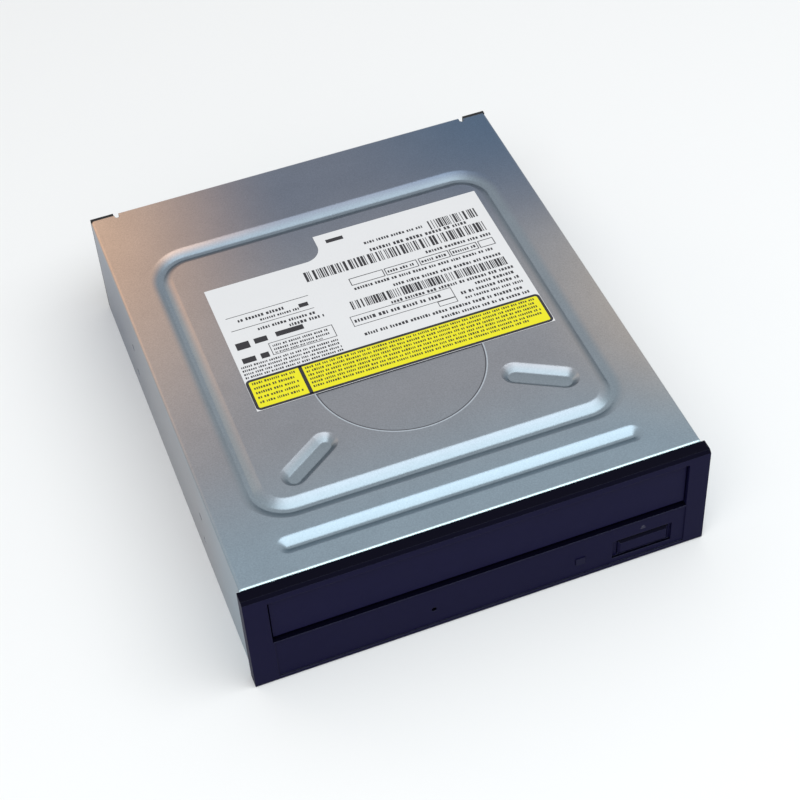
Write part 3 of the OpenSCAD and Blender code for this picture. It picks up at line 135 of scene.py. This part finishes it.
steelLook = {
    # The change of tone from front through middle to back is painted reflection
    "front": colour(0.235, 0.3, 0.355),
    "middle": colour(0.25, 0.26, 0.285),
    "back": colour(0.146, 0.168, 0.216),
    # Painted reflection: a darker, cooler tone for the groove floors
    "groove": colour(0.2, 0.255, 0.295),
    # Painted reflections on the top face: a warm patch at the rear left, a dark slate patch at the rear right and a
    # warm glint at the right edge
    "reflectionSpots": [
        {"tint": colour(0.62, 0.42, 0.3), "place": (-0.088, 0.182, 0.042), "squeeze": 1.9, "reach": 0.16},
        {"tint": colour(0.08, 0.128, 0.2), "place": (0.08, 0.18, 0.042), "squeeze": 1.2, "reach": 0.09},
        {"tint": colour(0.38, 0.35, 0.325), "place": (0.085, 0.06, 0.042), "squeeze": 1.6, "reach": 0.07},
    ],
    # Painted highlight along the front edge
    "rim": colour(0.62, 0.8, 0.86),
    # Painted highlight and painted shade on the coined circle's step: a light ring outside, a dark ring inside
    "coinStepHighlightAndShade": [(0.02835, 0.00028, colour(0.5, 0.56, 0.62)), (0.0279, 0.00026, colour(0.045, 0.045, 0.055))],
    "rimWidth": 0.0008,
    "roughness": 0.34,
    "grain": 2200.0,
    "edge": 0.0008,
}


def steelFinish():
    made, tree, shader = startFinish("zincSheet", Metallic=1.0)
    look = steelLook
    coords = put(tree, "ShaderNodeTexCoord").outputs["Object"]
    parts = put(tree, "ShaderNodeSeparateXYZ", {0: coords})
    # Painted reflection: the cover's tone runs from a lighter, bluer front to a darker back
    along = ramp(tree, parts.outputs[1], 0.005, 0.055)
    tone = blendColour(tree, along, look["front"], look["middle"])
    away = ramp(tree, parts.outputs[1], 0.09, 0.16)
    tone = blendColour(tree, away, tone, look["back"])
    above = ramp(tree, parts.outputs[2], 0.0402, 0.0417)
    # Painted reflection: groove floors below the top face take a darker, cooler tone
    grooveReflectionMask = calc(tree, "SUBTRACT", ramp(tree, parts.outputs[2], 0.0385, 0.039), above)
    tone = blendColour(tree, calc(tree, "MULTIPLY", grooveReflectionMask, 0.6), tone, look["groove"])
    # Painted reflections: each patch fades out with distance, on the top face only
    for reflectionSpot in look["reflectionSpots"]:
        away = put(tree, "ShaderNodeVectorMath", {0: coords, 1: reflectionSpot["place"]}, operation="SUBTRACT").outputs[0]
        away = put(tree, "ShaderNodeVectorMath", {0: away, 1: (reflectionSpot["squeeze"], 1.0, 1.0)},
                   operation="MULTIPLY").outputs[0]
        apart = put(tree, "ShaderNodeVectorMath", {0: away}, operation="LENGTH").outputs["Value"]
        reflectionShare = calc(tree, "MULTIPLY", ramp(tree, apart, reflectionSpot["reach"], 0.0), above)
        tone = blendColour(tree, reflectionShare, tone, reflectionSpot["tint"])
    # Painted highlight: a pale blue band along the front edge of the sheet
    rim = ramp(tree, parts.outputs[1], look["rimWidth"], look["rimWidth"] * 0.5)
    tone = blendColour(tree, rim, tone, look["rim"])
    low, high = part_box("clamper")
    middle = ((low[0] + high[0]) / 2, (low[1] + high[1]) / 2, 0.0)
    flat = put(tree, "ShaderNodeVectorMath", {0: coords, 1: (1.0, 1.0, 0.0)}, operation="MULTIPLY").outputs[0]
    out = put(tree, "ShaderNodeVectorMath", {0: flat, 1: middle}, operation="DISTANCE").outputs["Value"]
    # Painted highlight and painted shade: light and dark rings along the coined step on the top face
    for radius, width, tint in look["coinStepHighlightAndShade"]:
        off = calc(tree, "ABSOLUTE", calc(tree, "SUBTRACT", out, radius))
        line = calc(tree, "MULTIPLY", ramp(tree, off, width, width * 0.4), above)
        tone = blendColour(tree, calc(tree, "MULTIPLY", line, 0.8), tone, tint)
    fine, mottle = addGrain(tree, look["grain"])
    shade = calc(tree, "MULTIPLY_ADD", mottle, 0.12, 0.71)
    shade = calc(tree, "MULTIPLY_ADD", fine, 0.46, shade)
    grey = put(tree, "ShaderNodeCombineXYZ", {0: shade, 1: shade, 2: shade}).outputs[0]
    tree.links.new(blendColour(tree, 1.0, tone, grey, "MULTIPLY"), shader.inputs["Base Color"])
    tree.links.new(calc(tree, "MULTIPLY_ADD", fine, 0.12, look["roughness"] - 0.06), shader.inputs["Roughness"])
    addBump(tree, shader, fine, 0.12, 0.00002, look["edge"])
    return made


plasticLook = {
    "bezel": (colour(0.0062, 0.0056, 0.03), 0.46),
    "door": (colour(0.0068, 0.0062, 0.033), 0.4),
    # Painted shade: faces that look up keep this share of the bezel's colour
    "topPaintedShade": 0.2,
    # Painted highlight colour for the upper front edges
    "edgeHighlightTint": colour(0.16, 0.18, 0.26),
}


# Painted highlight line on the upper edges of faces that look to the front: how far the rounded normal leans away
# from the flat one
def paintedEdgeHighlight(tree, radius):
    flat = put(tree, "ShaderNodeNewGeometry").outputs["True Normal"]
    rounded = put(tree, "ShaderNodeBevel", {"Radius": radius * 0.7}, samples=6).outputs[0]
    same = put(tree, "ShaderNodeVectorMath", {0: flat, 1: rounded}, operation="DOT_PRODUCT").outputs["Value"]
    leaning = ramp(tree, same, 0.985, 0.86)
    up = put(tree, "ShaderNodeSeparateXYZ", {0: rounded}).outputs[2]
    front = put(tree, "ShaderNodeSeparateXYZ", {0: flat}).outputs[1]
    facing = calc(tree, "MULTIPLY", ramp(tree, up, 0.15, 0.45), ramp(tree, front, -0.5, -0.9))
    return calc(tree, "MULTIPLY", calc(tree, "MULTIPLY", leaning, facing), 0.55)


# Moulded plastic: even colour with a fine spark-eroded grain; it can also take painted shade on faces that look up
# and a painted highlight on upper edges
def mouldedFinish(name, tint, roughness, grain=5200.0, height=0.00001, specular=0.3, edge=0.0, topPaintedShade=1.0):
    made, tree, shader = startFinish(name, Specular_IOR_Level=specular)
    fine, mottle = addGrain(tree, grain)
    darker = (tint[0] * 0.86, tint[1] * 0.86, tint[2] * 0.86, 1.0)
    tone = blendColour(tree, mottle, darker, tint)
    # Painted shade: faces that look up are darkened
    if topPaintedShade < 1:
        facing = put(tree, "ShaderNodeSeparateXYZ", {0: put(tree, "ShaderNodeNewGeometry").outputs["True Normal"]})
        upward = ramp(tree, facing.outputs[2], 0.3, 0.8)
        tone = blendColour(tree, upward, tone, tuple(v * topPaintedShade for v in tint[:3]) + (1.0,))
    if edge:
        # Painted highlight on the upper front edges
        tone = blendColour(tree, paintedEdgeHighlight(tree, edge), tone, plasticLook["edgeHighlightTint"])
    tree.links.new(tone, shader.inputs["Base Color"])
    tree.links.new(calc(tree, "MULTIPLY_ADD", fine, 0.14, roughness - 0.07), shader.inputs["Roughness"])
    addBump(tree, shader, fine, 0.35, height, edge)
    return made


def metalFinish(name, tint, roughness, stretch=1.0, grain=2200.0):
    made, tree, shader = startFinish(name, Metallic=1.0)
    fine, mottle = addGrain(tree, grain, stretch)
    darker = (tint[0] * 0.82, tint[1] * 0.82, tint[2] * 0.82, 1.0)
    tree.links.new(blendColour(tree, mottle, darker, tint), shader.inputs["Base Color"])
    tree.links.new(calc(tree, "MULTIPLY_ADD", fine, 0.16, roughness - 0.08), shader.inputs["Roughness"])
    addBump(tree, shader, fine, 0.15, 0.00001)
    return made


def paperFinish(name, tint, roughness=0.45):
    made, tree, shader = startFinish(name, Specular_IOR_Level=0.35)
    fine, mottle = addGrain(tree, 1800.0)
    darker = (tint[0] * 0.96, tint[1] * 0.96, tint[2] * 0.96, 1.0)
    tree.links.new(blendColour(tree, mottle, darker, tint), shader.inputs["Base Color"])
    tree.links.new(calc(tree, "MULTIPLY_ADD", fine, 0.1, roughness - 0.05), shader.inputs["Roughness"])
    addBump(tree, shader, fine, 0.08, 0.00001)
    return made


# Ground lead screw: a spiral of 3 mm lead from the angle round the shaft and the place along it
def threadFinish():
    made, tree, shader = startFinish("screwThread", Metallic=1.0, Base_Color=colour(0.66, 0.66, 0.68))
    coords = put(tree, "ShaderNodeTexCoord").outputs["Object"]
    parts = put(tree, "ShaderNodeSeparateXYZ", {0: coords})
    side = calc(tree, "SUBTRACT", parts.outputs[0], 0.036)
    high = calc(tree, "SUBTRACT", parts.outputs[2], 0.019)
    angle = calc(tree, "ARCTAN2", high, side)
    turns = calc(tree, "MULTIPLY_ADD", parts.outputs[1], 2 * math.pi / (3 * mm), angle)
    wave = calc(tree, "SINE", turns)
    tree.links.new(calc(tree, "MULTIPLY_ADD", wave, 0.08, 0.28), shader.inputs["Roughness"])
    addBump(tree, shader, wave, 0.8, 0.0002)
    return made


# Solder mask over copper: straight tracks in two directions, picked out by cells
def boardFinish():
    made, tree, shader = startFinish("solderMask", Specular_IOR_Level=0.5)
    coords = put(tree, "ShaderNodeTexCoord").outputs["Object"]
    cells = put(tree, "ShaderNodeTexVoronoi", {"Vector": coords, "Scale": 70.0}, distance="CHEBYCHEV")
    parts = put(tree, "ShaderNodeSeparateXYZ", {0: coords})
    tracks = []
    for axis in (0, 1):
        place = calc(tree, "MULTIPLY", parts.outputs[axis], 1 / (1.1 * mm))
        tracks.append(calc(tree, "GREATER_THAN", calc(tree, "FRACT", place), 0.6))
    pick = calc(tree, "GREATER_THAN", put(tree, "ShaderNodeSeparateXYZ", {0: cells.outputs["Color"]}).outputs[0], 0.5)
    chosen = put(tree, "ShaderNodeMix", {0: pick, 2: tracks[0], 3: tracks[1]}).outputs[0]
    tone = blendColour(tree, chosen, colour(0.018, 0.085, 0.035), colour(0.03, 0.15, 0.06))
    tree.links.new(tone, shader.inputs["Base Color"])
    shader.inputs["Roughness"].default_value = 0.32
    addBump(tree, shader, chosen, 0.25, 0.00003)
    return made


# Lens glass: its coating drifts from blue to violet, with faint polish marks
def glassFinish():
    made, tree, shader = startFinish("coatedLens", Transmission_Weight=0.9, IOR=1.5)
    fine, mottle = addGrain(tree, 3000.0)
    tint = blendColour(tree, mottle, colour(0.5, 0.66, 0.95), colour(0.72, 0.7, 0.95))
    tree.links.new(tint, shader.inputs["Base Color"])
    tree.links.new(calc(tree, "MULTIPLY_ADD", fine, 0.03, 0.03), shader.inputs["Roughness"])
    return made


print("making finishes")
finishes = {
    "zinc_steel": steelFinish(),
    "black_plastic": mouldedFinish("bezelPlastic", *plasticLook["bezel"], specular=0.04, edge=0.00035,
                                   topPaintedShade=plasticLook["topPaintedShade"]),
    "door_plastic": mouldedFinish("doorPlastic", *plasticLook["door"], specular=0.04, edge=0.00035),
    "paper_label": paperFinish("labelPaper", colour(0.74, 0.74, 0.76)),
    "yellow_print": paperFinish("labelYellow", colour(0.8, 0.74, 0.012)),
    "clear_window": mouldedFinish("lampWindow", colour(0.007, 0.0068, 0.03), 0.3, 3000.0, 0.000004, 0.05),
    "white_plastic": mouldedFinish("acetal", colour(0.78, 0.77, 0.72), 0.36, 3000.0, 0.000006, 0.5),
    "grey_plastic": mouldedFinish("greyMoulding", colour(0.045, 0.045, 0.05), 0.5),
    "connector_white": mouldedFinish("nylon", colour(0.72, 0.7, 0.62), 0.45, 3600.0, 0.00001, 0.5),
    "connector_black": mouldedFinish("connectorBody", colour(0.018, 0.018, 0.02), 0.5),
    "rubber": mouldedFinish("rubber", colour(0.02, 0.02, 0.02), 0.75, 3000.0, 0.00003, 0.3),
    "board_green": boardFinish(),
    "chip_black": mouldedFinish("epoxy", colour(0.016, 0.016, 0.018), 0.55, 4000.0),
    "pin_gold": metalFinish("pinPlating", colour(0.86, 0.62, 0.26), 0.26),
    "bright_steel": metalFinish("brightSteel", colour(0.56, 0.57, 0.59), 0.26, 0.1),
    "zinc_casting": metalFinish("zincCasting", colour(0.4, 0.4, 0.42), 0.5),
    "magnet": mouldedFinish("ferrite", colour(0.03, 0.03, 0.035), 0.6),
    "lens_glass": glassFinish(),
    "lamp": mouldedFinish("lampBody", colour(0.3, 0.5, 0.2), 0.2, 3000.0, 0.000002, 0.5),
    "flex_film": mouldedFinish("flexFilm", colour(0.45, 0.2, 0.04), 0.35, 3000.0, 0.000004, 0.5),
}
for part in frame["record"]["subparts"]:
    skin = finishes[part["material_slot"]]
    piece = nodes[part["node"]]
    for slotNumber in range(len(piece.material_slots)):
        piece.material_slots[slotNumber].material = skin
nodes["lead_screw"].material_slots[0].material = threadFinish()
innerPlastic = mouldedFinish("innerPlastic", colour(0.011, 0.011, 0.013), 0.5, 4200.0, 0.000012, 0.22)
faceParts = {"front_bezel", "tray_door", "eject_button"}
for part in frame["record"]["subparts"]:
    if part["material_slot"] == "black_plastic" and part["node"] not in faceParts:
        for holder in nodes[part["node"]].material_slots:
            holder.material = innerPlastic


# Flat patches: rows of x0, x1, y0, y1 in millimetres become separate quads at one height
def patchMesh(name, rows, height, finish):
    rows = np.asarray(rows, float)
    corners = np.stack([rows[:, [0, 2]], rows[:, [1, 2]], rows[:, [1, 3]], rows[:, [0, 3]]], axis=1)
    flat = corners.reshape(-1, 2)
    points = np.column_stack([flat, np.full(len(flat), height)]) * mm
    faces = np.arange(len(points)).reshape(-1, 4)
    mesh = bpy.data.meshes.new(name)
    mesh.from_pydata(points.tolist(), [], faces.tolist())
    mesh.materials.append(finish)
    made = bpy.data.objects.new(name, mesh)
    bpy.context.scene.collection.objects.link(made)
    return made


# Striped code field: bars of one to three units with gaps of one to three
def stripes(x0, x1, y0, y1, unit, seed):
    dice = np.random.default_rng(seed)
    widths = dice.choice([1, 1, 2, 3], 400) * unit
    edges = x0 + np.concatenate([[0], np.cumsum(widths)])
    edges = edges[edges < x1]
    edges = edges[: len(edges) // 2 * 2].reshape(-1, 2)
    return [[a, b, y0, y1] for a, b in edges]


# Row of plain upright ticks in clusters, in place of a line of print
def ticks(x0, x1, y, high, seed):
    dice = np.random.default_rng(seed)
    rows = []
    x = x0
    while True:
        for width in dice.uniform(0.3, 0.62, dice.integers(2, 8)) * high:
            if x + width > x1:
                return rows
            lift = dice.uniform(0.0, 0.22) * high
            rows.append([x, x + width, y - high / 2, y + high / 2 - lift])
            x += width + 0.26 * high
        x += 0.45 * high


# Frame between two rounded rectangles: the corner angle runs over four quarter turns at each radius
def roundedFrame(name, box, radius, line, height, finish, steps=8):
    x0, x1, y0, y1 = box
    turn = np.linspace(0, math.pi / 2, steps)
    loops = []
    for inset in (0.0, line):
        reach = max(radius - inset, 0.2)
        parts = []
        for k, (cx, cy) in enumerate([(x1 - radius, y1 - radius), (x0 + radius, y1 - radius),
                                      (x0 + radius, y0 + radius), (x1 - radius, y0 + radius)]):
            angle = turn + k * math.pi / 2
            parts.append(np.column_stack([cx + reach * np.cos(angle), cy + reach * np.sin(angle)]))
        loops.append(np.vstack(parts))
    count = len(loops[0])
    flat = np.vstack(loops)
    points = np.column_stack([flat, np.full(2 * count, height)]) * mm
    step = np.arange(count)
    after = (step + 1) % count
    faces = np.column_stack([step, after, after + count, step + count])
    mesh = bpy.data.meshes.new(name)
    mesh.from_pydata(points.tolist(), [], faces.tolist())
    mesh.materials.append(finish)
    made = bpy.data.objects.new(name, mesh)
    bpy.context.scene.collection.objects.link(made)
    return made


# Outline of a box from four thin bars
def outline(x0, x1, y0, y1, line):
    return [[x0, x1, y0, y0 + line], [x0, x1, y1 - line, y1],
            [x0, x0 + line, y0 + line, y1 - line], [x1 - line, x1, y0 + line, y1 - line]]


labelPrint = {
    "face": 41.93,
    "ink": colour(0.018, 0.017, 0.022),
    "greyInk": colour(0.022, 0.021, 0.027),
    "bandInk": colour(0.06, 0.052, 0.01),
    "band": (-47.1, 53.45, 64.2, 77.85),
    "bandLine": 0.95,
    "bandCorner": 1.6,
    "divider": (-29.6, -28.4),
    "codes": [(-14.2, 50.4, 112.8, 117.6, 0.3, 3), (32.8, 50.0, 120.4, 124.9, 0.26, 5),
              (-4.6, 50.4, 94.5, 98.5, 0.26, 8)],
    "boxes": [(-1.25, 10.7), (11.2, 22.7), (23.3, 34.0), (34.4, 44.2), (44.7, 50.2)],
    "rules": [(-44.4, -16.0, 106.75), (-44.4, -16.0, 100.5)],
    "rows": [(9.5, 30.5, 123.2, 1.3, 1), (10.2, 46.2, 119.3, 1.6, 2), (27.0, 50.4, 110.7, 1.4, 4),
             (11.5, 50.2, 100.3, 1.4, 6), (-1.0, 49.0, 103.6, 1.3, 7), (8.0, 51.5, 92.9, 1.4, 9),
             (36.5, 51.5, 90.4, 1.4, 10), (30.5, 51.5, 87.8, 1.4, 11), (31.0, 51.5, 85.3, 1.2, 21),
             (-5.0, 51.5, 82.6, 1.4, 12), (20.5, 51.5, 79.9, 1.3, 13), (-41.0, -24.0, 104.5, 1.4, 14),
             (-34.0, -20.0, 102.3, 1.1, 15), (-36.0, -16.0, 98.5, 1.3, 16), (-6.0, 24.0, 89.4, 1.6, 20),
             (-26.0, -14.0, 96.2, 1.4, 22), (-46.3, -13.2, 83.8, 0.95, 17), (-46.3, -13.2, 82.2, 0.95, 18),
             (-46.3, -13.2, 80.6, 0.95, 19), (-46.3, -13.2, 79.0, 0.95, 23), (12.0, 22.0, 107.0, 1.3, 24), (24.0, 33.4, 107.0, 1.3, 28), (35.2, 43.6, 107.0, 1.3, 29),
             (-34.0, -14.4, 89.4, 1.0, 25), (-34.0, -14.4, 87.7, 1.0, 26), (-34.0, -18.0, 86.2, 0.8, 27)],
    "bandRows": [(-45.2, -30.8, 75.8, 1.05, 31), (-45.2, -30.8, 73.7, 1.05, 32), (-45.2, -30.8, 71.6, 1.05, 33),
                 (-45.2, -30.8, 69.5, 1.05, 34), (-45.2, -30.8, 67.4, 1.05, 35), (-27.6, 51.6, 75.9, 1.0, 36),
                 (-27.6, 51.6, 74.2, 1.0, 37), (-27.6, 51.6, 72.5, 1.0, 38), (-27.6, 51.6, 70.8, 1.0, 39),
                 (-27.6, 51.6, 69.1, 1.0, 40), (-27.6, 46.0, 67.4, 1.0, 41)],
    "blocks": [(-45.0, -40.5, 85.2, 87.6), (-38.8, -36.0, 85.2, 87.6), (-45.0, -40.5, 91.6, 94.8),
               (-38.8, -34.4, 92.4, 94.8), (-31.4, -22.0, 92.8, 95.0), (-20.4, -17.2, 102.4, 104.2)],
}


def printLabel():
    look = labelPrint
    dark = []
    dark.append([look["divider"][0], look["divider"][1], look["band"][2] + 0.5, look["band"][3] - 0.5])
    for code in look["codes"]:
        dark += stripes(*code)
    for a, b in look["boxes"]:
        dark += outline(a, b, 105.3, 108.8, 0.3)
    for a, b, y in look["rules"]:
        dark.append([a, b, y, y + 0.24])
    dark += outline(-6.9, 28.3, 87.0, 91.8, 0.24) + outline(21.8, 28.3, 84.6, 87.0, 0.24)
    dark += outline(-35.0, -13.3, 85.3, 91.0, 0.24)
    dark.append([-2.1, 4.0, 128.2, 129.9])
    for block in look["blocks"]:
        dark.append(list(block))
    grey = []
    for x0, x1, y, high, seed in look["rows"]:
        grey += ticks(x0, x1, y, high, seed)
    band = []
    for x0, x1, y, high, seed in look["bandRows"]:
        band += ticks(x0, x1, y, high, seed)
    ink = paperFinish("printInk", look["ink"], 0.4)
    pieces = [patchMesh("labelInk", dark, look["face"], ink),
              patchMesh("labelGreyInk", grey, look["face"], paperFinish("printGrey", look["greyInk"], 0.4)),
              patchMesh("bandInk", band, look["face"], paperFinish("printOlive", look["bandInk"], 0.4)),
              roundedFrame("bandBorder", look["band"], look["bandCorner"], look["bandLine"], look["face"], ink)]
    for made in pieces:
        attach(made, "chassis")
    print("label print:", len(dark) + len(grey) + len(band), "patches")


printLabel()

ejectMark = {"place": (53.1, -4.32, 14.9), "wide": 1.7, "tint": colour(0.02, 0.02, 0.05)}


# Triangle over a bar, printed on the bezel's lower panel
def printEjectMark():
    x, y, z = ejectMark["place"]
    half = ejectMark["wide"] / 2
    points = np.array([[x - half, y, z], [x + half, y, z], [x, y, z + 0.95],
                       [x - half, y, z - 0.6], [x + half, y, z - 0.6], [x + half, y, z - 0.25], [x - half, y, z - 0.25]])
    mesh = bpy.data.meshes.new("ejectMark")
    mesh.from_pydata((points * mm).tolist(), [], [[0, 1, 2], [3, 4, 5, 6]])
    mesh.materials.append(paperFinish("markInk", ejectMark["tint"], 0.4))
    made = bpy.data.objects.new("ejectMark", mesh)
    bpy.context.scene.collection.objects.link(made)
    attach(made, "chassis")


printEjectMark()

stageLook = {
    "floor": colour(0.9, 0.9, 0.91),
    "floorReach": 4.0,
    "fade": (0.35, 1.2),
    "underCase": (-0.071, 0.071, 0.003, 0.168),
    "world": colour(1.0, 1.0, 1.0),
    "fill": 0.56,
    "lamps": [
        {"name": "frontSoftbox", "place": (0.1, -0.42, 1.15), "wide": 2.3, "deep": 0.8, "power": 14.2,
         "tint": (0.95, 1.0, 1.0)},
        {"name": "warmKicker", "place": (-0.8, 0.95, 0.5), "wide": 0.3, "deep": 0.2, "power": 0.45,
         "tint": (1.0, 0.7, 0.45)},
    ],
}


def buildStage():
    look = stageLook
    # The floor is open under the case, so that the underside is lit as the rest is
    reach = look["floorReach"]
    inner = look["underCase"]
    outer = (-reach, reach, -reach, reach)
    corners = [(box[i], box[j], 0.0) for box in (outer, inner) for i, j in ((0, 2), (1, 2), (1, 3), (0, 3))]
    mesh = bpy.data.meshes.new("studioFloor")
    mesh.from_pydata(corners, [], [(k, (k + 1) % 4, (k + 1) % 4 + 4, k + 4) for k in range(4)])
    floor = bpy.data.objects.new("studioFloor", mesh)
    bpy.context.scene.collection.objects.link(floor)
    made, tree, shader = startFinish("paleFloor", Base_Color=look["floor"], Roughness=0.9, Specular_IOR_Level=0.1)
    # Far from the part the floor fades into the white behind it
    coords = put(tree, "ShaderNodeTexCoord").outputs["Object"]
    apart = put(tree, "ShaderNodeVectorMath", {0: coords, 1: (0.0, 0.085, 0.0)}, operation="DISTANCE")
    far = ramp(tree, apart.outputs["Value"], *look["fade"])
    clear = put(tree, "ShaderNodeBsdfTransparent").outputs[0]
    mixed = put(tree, "ShaderNodeMixShader", {0: far, 1: shader.outputs[0], 2: clear}).outputs[0]
    tree.links.new(mixed, tree.nodes["Material Output"].inputs["Surface"])
    floor.data.materials.append(made)
    world = bpy.data.worlds.new("paleStudio")
    world.use_nodes = True
    tree = world.node_tree
    back = tree.nodes["Background"]
    rays = put(tree, "ShaderNodeLightPath")
    seen = calc(tree, "MAXIMUM", rays.outputs["Is Camera Ray"], rays.outputs["Is Glossy Ray"])
    seen = calc(tree, "MAXIMUM", seen, rays.outputs["Is Transmission Ray"])
    strength = put(tree, "ShaderNodeMix", {0: seen, 2: look["fill"], 3: 1.0}).outputs[0]
    back.inputs["Color"].default_value = look["world"]
    tree.links.new(strength, back.inputs["Strength"])
    bpy.context.scene.world = world


def addLamp(look, aim):
    lamp = bpy.data.lights.new(look["name"], "AREA")
    lamp.shape = "RECTANGLE"
    lamp.size = look["wide"]
    lamp.size_y = look["deep"]
    lamp.energy = look["power"]
    lamp.color = look["tint"]
    made = bpy.data.objects.new(look["name"], lamp)
    bpy.context.scene.collection.objects.link(made)
    made.location = look["place"]
    away = np.array(aim) - np.array(look["place"])
    flat = math.hypot(away[0], away[1])
    made.rotation_euler = Euler((math.atan2(flat, -away[2]), 0.0, math.atan2(-away[0], away[1])))


cameraLook = {
    "place": (-0.12534, -0.322922, 0.467176),
    "turn": (0.7449665, 0.0462956, -0.3619730),
    "focal": 1866.1 * 36 / 800,
}


def placeCamera():
    lens = bpy.data.cameras.new("shotCamera")
    lens.sensor_width = 36
    lens.lens = cameraLook["focal"]
    lens.clip_start = 0.01
    made = bpy.data.objects.new("shotCamera", lens)
    bpy.context.scene.collection.objects.link(made)
    made.location = cameraLook["place"]
    made.rotation_euler = Euler(cameraLook["turn"], "XYZ")
    bpy.context.scene.camera = made


print("lighting the stage")
buildStage()
for lamp in stageLook["lamps"]:
    addLamp(lamp, (0.0, 0.06, 0.02))
placeCamera()
bpy.context.scene.view_settings.view_transform = "Standard"
